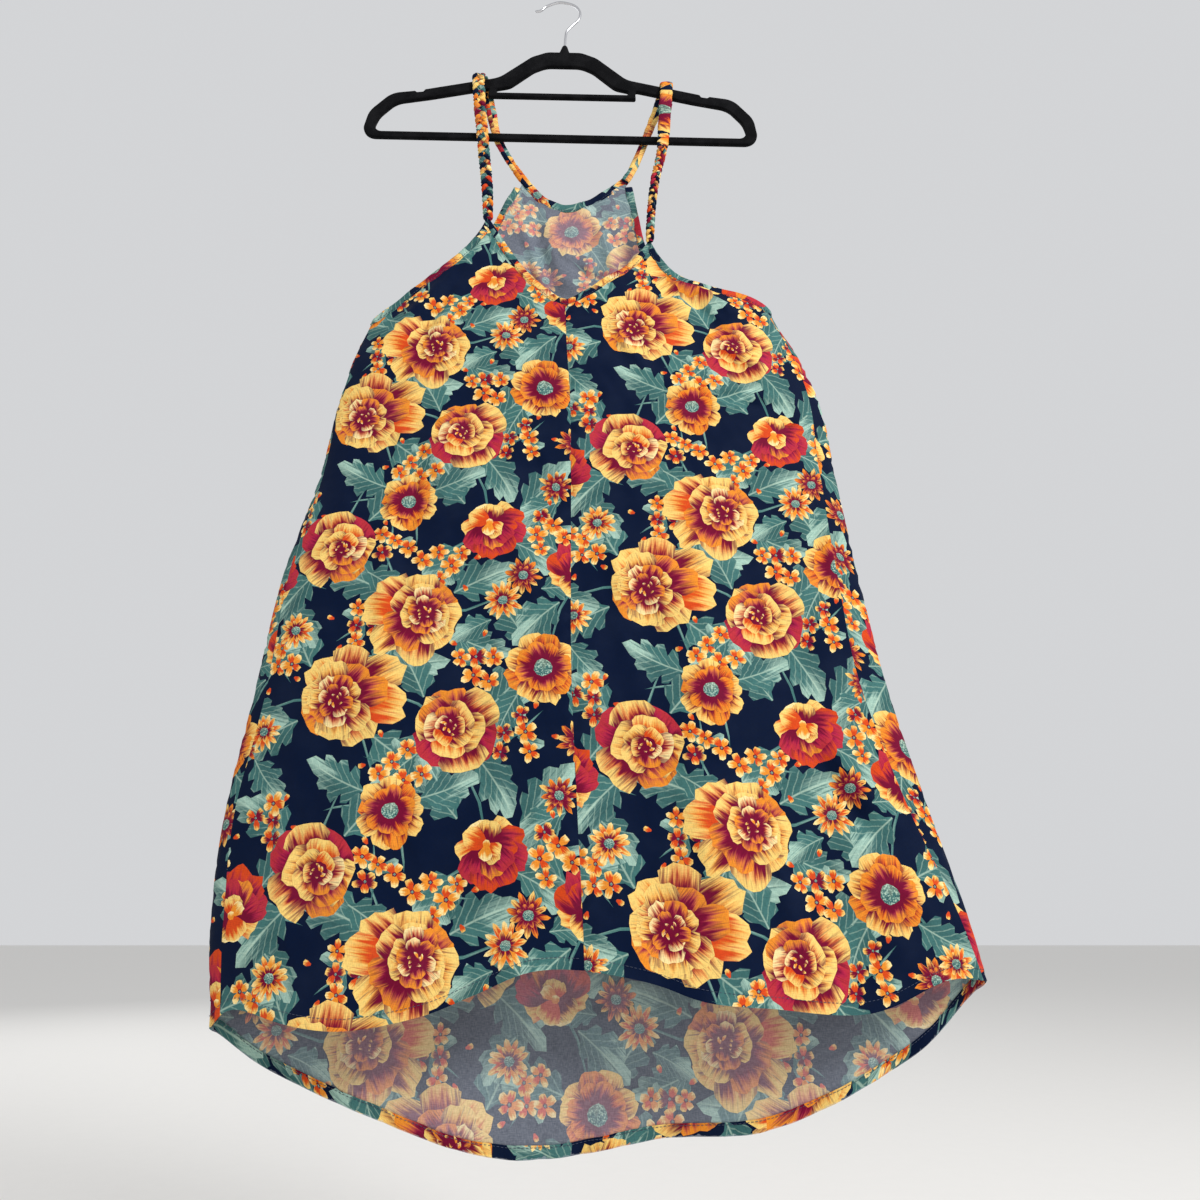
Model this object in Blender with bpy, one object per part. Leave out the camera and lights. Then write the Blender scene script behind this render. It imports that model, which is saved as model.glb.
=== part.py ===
"""A sleeveless high-low sundress on a slim flocked hanger, in metres once built, +Z up.

The dress faces -Y and the origin is the inside of the hook's crown, where the hanger is held.
Every cloth piece is a wall laid on one surface: rings round the body, worked out from the rows
of SECTIONS, with the widest folds of FOLDS laid over them. All tables are in millimetres.
"""

import math
from bisect import bisect_right
from collections import namedtuple

import bmesh
import bpy
from mathutils import Matrix, Vector

MM = 0.001

# Driving sizes, mm
CLOTH = 1.2  # wall of a panel
SEAM_GAP = 0.3  # between neighbouring pieces
EDGE_EASE = 0.25  # more, where a panel's straight facets meet a curved binding
BINDING_WIDTH = 8.5
BINDING_PROUD = 0.5  # how far a binding stands off the panel, on both faces
NECK_BAND_WIDTH = 10.0
HANGER_DEPTH = 5.5
HANGER_TILT = 1.6  # degrees, right end low
HANGER_AXIS = 8.7  # the hanger's middle, right of the hook's crown
HOOK_WIRE = 3.0
BRAID_THICKNESS = 6.0
TUBE_THICKNESS = 5.0

# Resolution
PANEL_ROWS = 14
EDGE_STEPS = 3  # points on an edge between two rows of its table
STRAP_SIDES = 8
STRAP_STEPS = 4
ARM_STEPS = 8
MITRE_TIP = 0.8  # width at which a mitred binding starts
MITRE_EASE = 0.88  # keeps the two sides of a mitre apart where their edges curve
SHARE_LIMIT = 1.2  # how far past a side seam its panel's edges are read
SHARE_STEP = 0.004  # the least space between a panel's columns
COLUMN_STEP = 0.12  # the widest space between them
SIDE_COLUMN_STEP = 0.055  # and near the side folds, past SIDE_SHARE
SIDE_SHARE = 0.68
PRINT_GROUND = (0.014, 0.030, 0.075)
FLOCK_BLACK = (0.006, 0.006, 0.008)
HOOK_STEEL = (0.62, 0.62, 0.64)
FILLET_STEP = 15.0  # degrees of a rounded corner between two of its points

# Rings round the body. left, seam and right are across; front and back are the depth of the two
# faces in the middle; the turns are the share of the half width that the back wraps to the front.
Section = namedtuple("Section", "level left seam right front back turn_left turn_right")
SECTIONS = [
    Section(-240, -182, 10, 210, -8, 8, 0.00, 0.00),
    Section(-330, -184, 11, 214, -11, 11, 0.00, 0.00),
    Section(-450, -186, 13, 226, -19, 14, 0.00, 0.01),
    Section(-500, -201, 15, 249, -23, 16, 0.01, 0.03),
    Section(-560, -213, 19, 268, -26, 17, 0.01, 0.05),
    Section(-640, -223, 21, 276, -29, 19, 0.02, 0.07),
    Section(-740, -246, 22, 288, -33, 21, 0.03, 0.09),
    Section(-850, -258, 24, 304, -37, 23, 0.05, 0.10),
    Section(-960, -270, 30, 329, -41, 25, 0.04, 0.07),
    Section(-1045, -269, 35, 350, -44, 26, 0.05, 0.03),
    Section(-1120, -259, 38, 361, -46, 27, 0.04, 0.01),
    Section(-1220, -250, 41, 364, -48, 28, 0.04, 0.01),
]

# The widest folds, each a soft ridge (or, where height is negative, a trough) between two points.
Fold = namedtuple("Fold", "face top_x top_z foot_x foot_z half_width height")
FOLDS = [
    Fold("front", -112, -400, -196, -560, 26, 7),
    Fold("front", 140, -425, 226, -545, 26, 7),
    Fold("front", 170, -520, 232, -590, 22, -5),
    Fold("front", -120, -640, -170, -1180, 46, 9),
    Fold("front", -55, -700, -70, -1160, 38, -7),
    Fold("front", 120, -660, 150, -1160, 44, 8),
    Fold("front", 205, -720, 255, -1180, 40, -7),
    Fold("back", -150, -620, -185, -1200, 46, 8),
    Fold("back", -40, -560, -60, -1260, 50, -7),
    Fold("back", 100, -600, 120, -1260, 50, 9),
    Fold("back", 215, -700, 250, -1200, 40, -7),
]

# Finished edges: across and level, from left to right or from front to back.
EdgePoint = namedtuple("EdgePoint", "face across level")
NECK_EDGE = [
    EdgePoint("front", -72, -331),
    EdgePoint("front", -44, -378),
    EdgePoint("front", -24, -411),
    EdgePoint("front", -4, -432),
    EdgePoint("front", 13, -443),
    EdgePoint("front", 32, -433),
    EdgePoint("front", 54, -415),
    EdgePoint("front", 76, -396),
    EdgePoint("front", 101, -361),
]
BACK_NECK_EDGE = [
    EdgePoint("back", -28, -267),
    EdgePoint("back", -12, -287),
    EdgePoint("back", 15, -295),
    EdgePoint("back", 44, -284),
    EdgePoint("back", 73, -259),
]
ARMHOLE_LEFT = [
    EdgePoint("front", -72, -331),
    EdgePoint("front", -85, -359),
    EdgePoint("front", -109, -388),
    EdgePoint("front", -137, -415),
    EdgePoint("front", -166, -440),
    EdgePoint("fold", -187, -457),
    EdgePoint("back", -164, -446),
    EdgePoint("back", -132, -424),
    EdgePoint("back", -102, -392),
    EdgePoint("back", -79, -350),
    EdgePoint("back", -62, -306),
    EdgePoint("back", -49, -276),
]
ARMHOLE_RIGHT = [
    EdgePoint("front", 101, -361),
    EdgePoint("front", 111, -383),
    EdgePoint("front", 130, -409),
    EdgePoint("front", 160, -422),
    EdgePoint("front", 198, -430),
    EdgePoint("fold", 222, -443),
    EdgePoint("back", 190, -436),
    EdgePoint("back", 152, -424),
    EdgePoint("back", 118, -398),
    EdgePoint("back", 100, -360),
    EdgePoint("back", 91, -315),
    EdgePoint("back", 85, -277),
]
FRONT_HEM = [
    EdgePoint("fold", -259, -1122),
    EdgePoint("front", -237, -1107),
    EdgePoint("front", -190, -1116),
    EdgePoint("front", -142, -1120),
    EdgePoint("front", -87, -1110),
    EdgePoint("front", -52, -1097),
    EdgePoint("front", -6, -1079),
    EdgePoint("front", 38, -1078),
    EdgePoint("front", 88, -1087),
    EdgePoint("front", 126, -1099),
    EdgePoint("front", 175, -1104),
    EdgePoint("front", 254, -1109),
    EdgePoint("front", 318, -1086),
    EdgePoint("fold", 358, -1087),
]
BACK_HEM = [
    EdgePoint("fold", -259, -1122),
    EdgePoint("back", -221, -1149),
    EdgePoint("back", -156, -1179),
    EdgePoint("back", -63, -1211),
    EdgePoint("back", 8, -1218),
    EdgePoint("back", 83, -1206),
    EdgePoint("back", 187, -1196),
    EdgePoint("back", 291, -1148),
    EdgePoint("fold", 358, -1087),
]

# Straps: the middle and width of each, from the dress to the crown of the hanger's arm.
StrapPoint = namedtuple("StrapPoint", "across depth level width")
STRAP_REACH = HANGER_DEPTH / 2 + SEAM_GAP + BRAID_THICKNESS / 2  # clear of the hanger's faces
FRONT_STRAP_LEFT = [
    StrapPoint(-72, -10, -331.7, 11),
    StrapPoint(-74, -10, -296, 13),
    StrapPoint(-79, -8, -252, 13.5),
    StrapPoint(-84, -7, -207, 14),
    StrapPoint(-89, -STRAP_REACH, -162, 14.5),
    StrapPoint(-92, -STRAP_REACH, -125.5, 14.5),
]
BACK_STRAP_LEFT = [
    StrapPoint(-32.7, 8.3, -269.4, 9.5),
    StrapPoint(-44, 8.2, -252, 9.5),
    StrapPoint(-59, 7.5, -225, 9.5),
    StrapPoint(-70, 7, -198, 10.5),
    StrapPoint(-78, STRAP_REACH, -160, 12),
    StrapPoint(-86, STRAP_REACH, -124.5, 13),
]
FRONT_STRAP_RIGHT = [
    StrapPoint(101, -11.5, -361.6, 9.5),
    StrapPoint(104, -10, -316, 10),
    StrapPoint(109, -8, -276, 10.5),
    StrapPoint(117, -7, -236, 12),
    StrapPoint(121, -STRAP_REACH, -190, 14.5),
    StrapPoint(125, -STRAP_REACH, -138, 14.5),
]
BACK_STRAP_RIGHT = [
    StrapPoint(78.0, 8.1, -261.2, 9.5),
    StrapPoint(84, 8.0, -250, 9.5),
    StrapPoint(93, 7.5, -226, 9.5),
    StrapPoint(101, 7, -202, 9.5),
    StrapPoint(113, STRAP_REACH, -166, 11),
    StrapPoint(122, STRAP_REACH, -137.5, 13),
]
BRAID_TOP_LEFT = -146  # where the braid is joined to the plain tube: just behind the arm
BRAID_TOP_RIGHT = -233  # and in front, because the right strap has slid forward

# The hanger, one moulding: half outlines, mirrored, each corner rounded to its own radius.
Corner = namedtuple("Corner", "across level radius")
HANGER_OUTLINE = [
    Corner(20, -82, 22),
    Corner(38, -90, 24),
    Corner(74, -123, 28),
    Corner(152, -142, 60),
    Corner(158, -143.5, 2),
    Corner(160, -147, 2),
    Corner(167, -148, 2),
    Corner(169, -146, 2),
    Corner(196, -150, 26),
    Corner(219, -178, 30),
    Corner(225, -216, 15),
]
MAIN_WINDOW = [
    Corner(85, -152.5, 2),
    Corner(84, -140, 2),
    Corner(150, -156, 60),
    Corner(189, -164, 24),
    Corner(206, -185, 30),
    Corner(212, -207, 8),
]
HUMP_WINDOW = [
    Corner(20, -104.5, 26),
    Corner(34, -112, 24),
    Corner(60, -137, 20),
    Corner(76, -141, 3),
    Corner(76, -146, 2),
]
NECK_BASE_LEVEL = -86.0
NECK_TOP_LEVEL = -71.0
NECK_BASE_RADIUS = 8.0
NECK_TOP_RADIUS = 2.8
HOOK_ROUTE = [
    (8.7, -70.7),
    (8.9, -56),
    (10.5, -45),
    (17.5, -35),
    (23.6, -26),
    (24.6, -14),
    (17, -3.2),
    (0, 1.5),
    (-15, -5),
    (-22, -12.5),
    (-28, -14.5),
]


def table_value(rows, key, name, at):
    """A column of a table at any level: a smooth curve through its rows."""
    keys = [getattr(row, key) for row in rows]
    values = [getattr(row, name) for row in rows]
    if keys[0] > keys[-1]:
        keys = keys[::-1]
        values = values[::-1]
    at = min(max(at, keys[0]), keys[-1])
    low = min(max(bisect_right(keys, at) - 1, 0), len(keys) - 2)

    def slope(index):
        before = max(index - 1, 0)
        after = min(index + 1, len(keys) - 1)
        return (values[after] - values[before]) / (keys[after] - keys[before])

    span = keys[low + 1] - keys[low]
    part = (at - keys[low]) / span
    rise = part * part * (3 - 2 * part)
    start_pull = part * (1 - part) ** 2
    end_pull = -(part**2) * (1 - part)
    return (
        values[low] * (1 - rise)
        + values[low + 1] * rise
        + span * (slope(low) * start_pull + slope(low + 1) * end_pull)
    )


def smooth_path(points, steps):
    """A Catmull-Rom curve through points, with some steps between each two."""
    points = [Vector(point) for point in points]
    padded = [2 * points[0] - points[1], *points, 2 * points[-1] - points[-2]]
    path = []
    for index in range(1, len(padded) - 2):
        before, start, end, after = padded[index - 1 : index + 3]
        for step in range(steps):
            t = step / steps
            path.append(
                0.5
                * (
                    2 * start
                    + (end - before) * t
                    + (2 * before - 5 * start + 4 * end - after) * t * t
                    + (3 * start - before - 3 * end + after) * t**3
                )
            )
    path.append(points[-1])
    return path


# --- The surface that all the cloth lies on -------------------------------------------------


def section(name, level):
    return table_value(SECTIONS, "level", name, level)


def fold_height(face, across, level):
    """How far the folds lift the cloth off its ring at a point."""
    height = 0.0
    for fold in FOLDS:
        if fold.face != face:
            continue
        top = Vector((fold.top_x, fold.top_z))
        run = Vector((fold.foot_x, fold.foot_z)) - top
        offset = Vector((across, level)) - top
        along = offset.dot(run) / run.length_squared
        aside = abs(offset.cross(run)) / run.length
        if 0 < along < 1 and aside < fold.half_width:
            fade = math.sin(math.pi * min(along * 1.6, 1 - 0.5 * along) / 2) ** 2
            height += fold.height * fade * math.cos(math.pi * aside / fold.half_width / 2) ** 2
    return height


def ring_point(turn, level):
    """A point on the cloth's outer face.

    turn runs round the body: 0 is the front seam, 1 the right side fold, -1 the left one, and
    2 or -2 the middle of the back.
    """
    side = 1 if turn >= 0 else -1
    share = abs(turn)
    face = "front" if share <= 1 else "back"
    angle = 3 * math.asin(min(share, 2 - share) / 2)
    seam = section("seam", level)
    edge = section("right" if side > 0 else "left", level)
    front = section("front", level)
    back = section("back", level)
    side_depth = 0.2 * (front + back)
    depth = front if face == "front" else back
    across = seam + (edge - seam) * math.sin(angle)
    lift = fold_height(face, across, level) * math.cos(angle)
    outward = -1 if face == "front" else 1
    return Vector((across, side_depth + (depth - side_depth) * math.cos(angle) + outward * lift, level))


def turn_at(face, across, level):
    """The ring's turn where the cloth of one face is this far across."""
    seam = section("seam", level)
    side = 1 if across >= seam else -1
    edge = section("right" if side > 0 else "left", level)
    share = min(abs((across - seam) / (edge - seam)), 1)
    turn = 2 * math.sin(math.asin(share) / 3)
    if face == "back":
        turn = 2 - turn
    return side * (1 if face == "fold" else turn)


def ring_slopes(turn, level):
    """How the surface runs round and down at a point."""
    step = 0.004 if abs(turn) < 1.9 else -0.004
    step = math.copysign(step, step * (1 if turn >= 0 else -1))
    round_step = (ring_point(turn + step, level) - ring_point(turn, level)) / step
    level_step = ring_point(turn, level + 0.5) - ring_point(turn, level - 0.5)
    return round_step, level_step


def outward_normal(turn, level):
    round_step, level_step = ring_slopes(turn, level)
    return round_step.cross(level_step).normalized()


def moved(turn, level, offset):
    """The turn and level reached by a short step, given as a vector along the surface."""
    round_step, level_step = ring_slopes(turn, level)
    a = round_step.dot(round_step)
    b = round_step.dot(level_step)
    c = level_step.dot(level_step)
    along_round = offset.dot(round_step)
    along_level = offset.dot(level_step)
    scale = a * c - b * b
    return (
        turn + (along_round * c - along_level * b) / scale,
        level + (along_level * a - along_round * b) / scale,
    )


# --- Edges ----------------------------------------------------------------------------------


def spread_edge(rows):
    """The (turn, level) points of a finished edge, smooth between the rows of its table."""
    points = smooth_path([(row.across, row.level) for row in rows], EDGE_STEPS)
    spread = []
    for index, point in enumerate(points):
        row = rows[index // EDGE_STEPS]
        face = row.face
        if index % EDGE_STEPS and face == "fold":
            face = rows[index // EDGE_STEPS + 1].face
        spread.append((turn_at(face, point.x, point.y), point.y))
    return spread


def inward_steps(edge, inward):
    """The unit vector from each point of an edge into the cloth."""
    points = [ring_point(*place) for place in edge]
    steps = []
    for index, place in enumerate(edge):
        tangent = points[min(index + 1, len(points) - 1)] - points[max(index - 1, 0)]
        steps.append(inward * outward_normal(*place).cross(tangent).normalized())
    return steps


def inner_edge(edge, inward, widths):
    """The edge moved into the cloth, by its own width at each point."""
    steps = inward_steps(edge, inward)
    return [moved(*place, step * width) for place, step, width in zip(edge, steps, widths)]


# --- Meshes ---------------------------------------------------------------------------------


def make_object(name, vertices, faces, material, smooth=True):
    mesh = bpy.data.meshes.new(name)
    mesh.from_pydata([Vector(vertex) * MM for vertex in vertices], [], faces)
    if material:
        mesh.materials.append(material)
    if smooth:
        mesh.shade_smooth()
        mesh.set_sharp_from_angle(angle=math.radians(50))
    built = bpy.data.objects.new(name, mesh)
    bpy.context.scene.collection.objects.link(built)
    turn_outward(mesh)
    return built


def turn_outward(mesh):
    """Faces a closed mesh's normals outward."""
    shape = bmesh.new()
    shape.from_mesh(mesh)
    if shape.calc_volume(signed=True) < 0:
        bmesh.ops.reverse_faces(shape, faces=shape.faces)
    shape.to_mesh(mesh)
    shape.free()


def wall(name, grid, proud, wall_depth, material):
    """A closed wall on a grid of (turn, level) places, given as a list of rows.

    Its outer face stands proud of the surface, and its inner face is wall_depth further in.
    """
    rows = len(grid)
    columns = len(grid[0])
    outer = []
    inner = []
    for row in grid:
        for place in row:
            point = ring_point(*place)
            normal = outward_normal(*place)
            outer.append(point + normal * proud)
            inner.append(point + normal * (proud - wall_depth))
    count = rows * columns
    faces = []
    for i in range(rows - 1):
        for j in range(columns - 1):
            a = i * columns + j
            b = a + 1
            c = a + columns + 1
            d = a + columns
            faces.append((a, b, c, d))
            faces.append((count + d, count + c, count + b, count + a))
    rim = [j for j in range(columns)]
    rim += [i * columns + columns - 1 for i in range(1, rows)]
    rim += [(rows - 1) * columns + j for j in range(columns - 2, -1, -1)]
    rim += [i * columns for i in range(rows - 2, 0, -1)]
    for index, start in enumerate(rim):
        end = rim[(index + 1) % len(rim)]
        faces.append((end, start, count + start, count + end))
    return make_object(name, outer + inner, faces, material)


def sweep(name, path, widths, thickness, material):
    """A closed strap of oval section along a path, its width held across the dress."""
    vertices = []
    for index, point in enumerate(path):
        along = path[min(index + 1, len(path) - 1)] - path[max(index - 1, 0)]
        along.normalize()
        across = (Vector((1, 0, 0)) - along * along.x).normalized()
        through = along.cross(across)
        for side in range(STRAP_SIDES):
            angle = 2 * math.pi * side / STRAP_SIDES
            vertices.append(
                point
                + across * math.cos(angle) * widths[index] / 2
                + through * math.sin(angle) * thickness / 2
            )
    faces = [tuple(range(STRAP_SIDES))]
    for ring in range(len(path) - 1):
        for side in range(STRAP_SIDES):
            a = ring * STRAP_SIDES + side
            b = ring * STRAP_SIDES + (side + 1) % STRAP_SIDES
            faces.append((b, a, a + STRAP_SIDES, b + STRAP_SIDES))
    last = (len(path) - 1) * STRAP_SIDES
    faces.append(tuple(last + side for side in reversed(range(STRAP_SIDES))))
    return make_object(name, vertices, faces, material)


# --- Cloth pieces ---------------------------------------------------------------------------


def trimmed(edge, start, end):
    """An edge with a length left off each end, and each kept point's length along it."""
    points = [ring_point(*place) for place in edge]
    lengths = [0.0]
    for before, after in zip(points, points[1:]):
        lengths.append(lengths[-1] + (after - before).length)
    finish = lengths[-1] - end
    kept = [start, *(length for length in lengths if start + 1 < length < finish - 1), finish]
    places = []
    for length in kept:
        after = min(max(bisect_right(lengths, length), 1), len(lengths) - 1)
        part = (length - lengths[after - 1]) / (lengths[after] - lengths[after - 1])
        place = Vector(edge[after - 1]).lerp(Vector(edge[after]), part)
        places.append((place.x, place.y))
    return places, kept, lengths[-1]


def binding(name, rows, width, inward, material, mitre_start=0, mitre_end=0):
    """A bias strip along a finished edge.

    A mitre is the slope at which an end widens from its corner, or 0 for a square end.
    """
    start = MITRE_TIP / mitre_start if mitre_start else 0
    end = MITRE_TIP / mitre_end if mitre_end else 0
    places, lengths, whole = trimmed(spread_edge(rows), start, end)
    widths = []
    for length in lengths:
        limits = [width]
        if mitre_start:
            limits.append(length * mitre_start - SEAM_GAP / 2)
        if mitre_end:
            limits.append((whole - length) * mitre_end - SEAM_GAP / 2)
        widths.append(min(limits))
    steps = inward_steps(places, inward)
    grid = [
        [moved(*place, step * span * share) for place, step, span in zip(places, steps, widths)]
        for share in (0, 0.5, 1)
    ]
    return wall(name, grid, BINDING_PROUD, CLOTH + 2 * BINDING_PROUD, material)


def mitre_slope(rows, other_rows, at_end):
    """The slope of a mitre where two edges leave the same corner, from their tables' ends."""
    ends = []
    for table, last in ((rows, at_end), (other_rows, False)):
        corner, following = (table[-1], table[-2]) if last else (table[0], table[1])
        ends.append(Vector((following.across - corner.across, following.level - corner.level)))
    return MITRE_EASE * math.tan(ends[0].angle(ends[1]) / 2)


def seam_turn(side, level):
    """The turn of a side seam, which the back may wrap round to the front."""
    wrap = max(section("turn_right" if side > 0 else "turn_left", level), 0)
    return 2 * math.sin(math.asin(1 - wrap) / 3)


def gap_turn(turn, level):
    """Half a seam's gap, as a turn."""
    return SEAM_GAP / 2 / ring_slopes(turn, level)[0].length


class HalfPanel:
    """Half of the front or the back, from its middle (share 0) to the side seam (share 1)."""

    def __init__(self, face, side, neck, armhole, hems):
        self.face = face
        self.side = side
        self.neck = self.boundary(neck)
        self.armhole = self.boundary(armhole)
        self.hem = self.boundary([place for hem in hems for place in hem])

    def limits(self, level):
        seam = seam_turn(self.side, level)
        gap = gap_turn(seam, level)
        if self.face == "front":
            return gap_turn(0.0, level), seam - gap
        return 2.0, seam + gap

    def boundary(self, places):
        """Edge places on this half as (share, level), in order."""
        points = []
        for turn, level in places:
            near, far = self.limits(level)
            share = (abs(turn) - near) / (far - near)
            if turn * self.side >= 0 and share < SHARE_LIMIT:
                points.append((share, level))
        return sorted(points)

    def level_on(self, boundary, share):
        shares = [point[0] for point in boundary]
        high = min(max(bisect_right(shares, share), 1), len(shares) - 1)
        start = boundary[high - 1]
        end = boundary[high]
        part = (share - start[0]) / max(end[0] - start[0], 1e-6)
        return start[1] + (end[1] - start[1]) * part

    def peak(self):
        """The share at which the neck's edge meets the armhole's."""
        low = self.armhole[0][0]
        high = self.neck[-1][0]
        for _ in range(40):
            middle = (low + high) / 2
            if self.level_on(self.neck, middle) < self.level_on(self.armhole, middle):
                low = middle
            else:
                high = middle
        return low

    def columns(self):
        """Shares from the middle to the side: one on each point of the top edge."""
        peak = self.peak()
        shares = [0.0]
        shares += [share for share, _ in self.neck if 0 < share < peak]
        shares += [peak]
        shares += [share for share, _ in self.armhole if peak < share < 1]
        shares = [share for share, after in zip(shares, shares[1:]) if after - share > SHARE_STEP]
        filled = []
        for share, after in zip(shares, shares[1:] + [1.0]):
            widest = COLUMN_STEP if share < SIDE_SHARE else SIDE_COLUMN_STEP
            parts = math.ceil((after - share) / widest)
            filled += [share + (after - share) * part / parts for part in range(parts)]
        return filled + [1.0]

    def column(self, share, rows):
        """The (turn, level) places down one column."""
        edge = self.neck if share < self.peak() - 1e-6 else self.armhole
        top = self.level_on(edge, share)
        hem = self.level_on(self.hem, share)
        places = []
        for row in range(rows + 1):
            level = top + (hem - top) * row / rows
            near, far = self.limits(level)
            places.append((self.side * (near + (far - near) * share), level))
        return places


def panel_edges():
    """The edges that the panels are cut to, inside their bindings."""
    neck = spread_edge(NECK_EDGE)
    back_neck = spread_edge(BACK_NECK_EDGE)
    left = spread_edge(ARMHOLE_LEFT)
    right = spread_edge(ARMHOLE_RIGHT)
    inset = BINDING_WIDTH + SEAM_GAP + EDGE_EASE
    band_inset = NECK_BAND_WIDTH + SEAM_GAP
    return {
        "front": inner_edge(neck, -1, [inset] * len(neck)),
        "back": inner_edge(back_neck, 1, [band_inset] * len(back_neck)),
        -1: inner_edge(left, 1, [inset] * len(left)),
        1: inner_edge(right, -1, [inset] * len(right)),
    }


def build_panels(colours):
    edges = panel_edges()
    hems = (spread_edge(FRONT_HEM), spread_edge(BACK_HEM))
    for side, name in ((-1, "front_left"), (1, "front_right")):
        half = HalfPanel("front", side, edges["front"], edges[side], hems)
        places = [half.column(share, PANEL_ROWS) for share in half.columns()]
        wall(name, places, 0, CLOTH, colours(name, PRINT_GROUND))
    halves = [HalfPanel("back", side, edges["back"], edges[side], hems) for side in (-1, 1)]
    left, right = (
        [half.column(share, PANEL_ROWS) for share in half.columns()] for half in halves
    )
    wall("back", left[:0:-1] + right, 0, CLOTH, colours("back", PRINT_GROUND))


def build_bindings(colours):
    left_mitre = mitre_slope(NECK_EDGE, ARMHOLE_LEFT, False)
    right_mitre = mitre_slope(NECK_EDGE, ARMHOLE_RIGHT, True)
    name = "neck_binding"
    binding(name, NECK_EDGE, BINDING_WIDTH, -1, colours(name, PRINT_GROUND), left_mitre, right_mitre)
    name = "back_neck_band"
    binding(name, BACK_NECK_EDGE, NECK_BAND_WIDTH, 1, colours(name, PRINT_GROUND))
    name = "armhole_binding_left"
    binding(name, ARMHOLE_LEFT, BINDING_WIDTH, 1, colours(name, PRINT_GROUND), left_mitre)
    name = "armhole_binding_right"
    binding(name, ARMHOLE_RIGHT, BINDING_WIDTH, -1, colours(name, PRINT_GROUND), right_mitre)


# --- Straps ---------------------------------------------------------------------------------


def strap_route(front, back):
    """Points and widths from the dress's front, over the hanger's arm, to its back.

    Also gives the index of the highest point, over the arm.
    """
    up = smooth_path(front, STRAP_STEPS)
    down = smooth_path(back, STRAP_STEPS)[::-1]
    start = up[-1]
    finish = down[0]
    crown = []
    for step in range(1, ARM_STEPS):
        part = step / ARM_STEPS
        point = start.lerp(finish, part)
        point.y = -STRAP_REACH * math.cos(math.pi * part)
        point.z = start.z + STRAP_REACH * math.sin(math.pi * part)
        crown.append(point)
    return up + crown + down, len(up) + ARM_STEPS // 2


def build_straps(colours):
    for side, front, back, front_join, braid_top in (
        ("left", FRONT_STRAP_LEFT, BACK_STRAP_LEFT, False, BRAID_TOP_LEFT),
        ("right", FRONT_STRAP_RIGHT, BACK_STRAP_RIGHT, True, BRAID_TOP_RIGHT),
    ):
        route, crown_index = strap_route(front, back)
        if front_join:
            join = next(index for index, point in enumerate(route) if point.z > braid_top)
        else:
            behind = range(crown_index, len(route))
            join = next(index for index in behind if route[index].z < braid_top)
        middle = (route[join - 1] + route[join]) / 2
        half_gap = (route[join] - route[join - 1]).normalized() * SEAM_GAP / 2
        braid = route[:join] + [middle - half_gap]
        tube = [middle + half_gap] + route[join:]
        for name, run, depth in (
            (f"strap_braid_{side}", braid, BRAID_THICKNESS),
            (f"strap_tube_{side}", tube, TUBE_THICKNESS),
        ):
            centres = [Vector(point[:3]) for point in run]
            sweep(name, centres, [point[3] for point in run], depth, colours(name, PRINT_GROUND))


# --- Hanger ---------------------------------------------------------------------------------


def rounded_outline(corners, start, finish):
    """The outline of a mirrored shape from half its corners, each rounded to its radius."""
    points = [Vector(start)]
    whole = [start, *((corner.across, corner.level) for corner in corners), finish]
    for index, corner in enumerate(corners):
        before = Vector(whole[index])
        tip = Vector(whole[index + 1])
        after = Vector(whole[index + 2])
        back = (before - tip).normalized()
        ahead = (after - tip).normalized()
        opening = back.angle(ahead)
        swing = math.pi - opening
        reach = corner.radius / math.tan(opening / 2)
        centre = tip + (back + ahead).normalized() * corner.radius / math.sin(opening / 2)
        spoke = tip + back * reach - centre
        turn = -1 if back.cross(ahead) > 0 else 1
        count = max(round(math.degrees(swing) / FILLET_STEP), 1)
        for step in range(count + 1):
            angle = turn * swing * step / count
            spun = Matrix.Rotation(angle, 2) @ spoke
            points.append(centre + spun)
    points.append(Vector(finish))
    mirrored = [Vector((-point.x, point.y)) for point in points[-2:0:-1]]
    return points + mirrored


def plate(name, outline, depth, material=None):
    """A flat plate of an outline drawn in the XZ plane, centred on the hanger's axis."""
    count = len(outline)
    vertices = []
    for face_depth in (-depth / 2, depth / 2):
        vertices += [Vector((HANGER_AXIS + point.x, face_depth, point.y)) for point in outline]
    faces = [tuple(range(count)), tuple(range(2 * count - 1, count - 1, -1))]
    for index in range(count):
        following = (index + 1) % count
        faces.append((following, index, count + index, count + following))
    return make_object(name, vertices, faces, material, smooth=material is not None)


def shape_with(target, tool, operation):
    """A Boolean, left on the object, with a tool that isn't part of the model."""
    step = target.modifiers.new(tool.name, "BOOLEAN")
    step.operation = operation
    step.solver = "EXACT"
    step.object = tool
    tool.hide_render = True
    tool.display_type = "WIRE"
    tool.parent = target


def build_hanger(colours):
    top = HANGER_OUTLINE[0].level
    foot = HANGER_OUTLINE[-1].level
    body = plate(
        "hanger",
        rounded_outline(HANGER_OUTLINE, (0, top), (0, foot)),
        HANGER_DEPTH,
        colours("hanger", FLOCK_BLACK, roughness=0.95),
    )
    for name, corners in (("main_window", MAIN_WINDOW), ("hump_window", HUMP_WINDOW)):
        outline = rounded_outline(corners, (0, corners[0].level), (0, corners[-1].level))
        shape_with(body, plate(name, outline, 3 * HANGER_DEPTH), "DIFFERENCE")
    shape_with(body, neck(), "UNION")
    body.rotation_euler.y = math.radians(HANGER_TILT)


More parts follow.
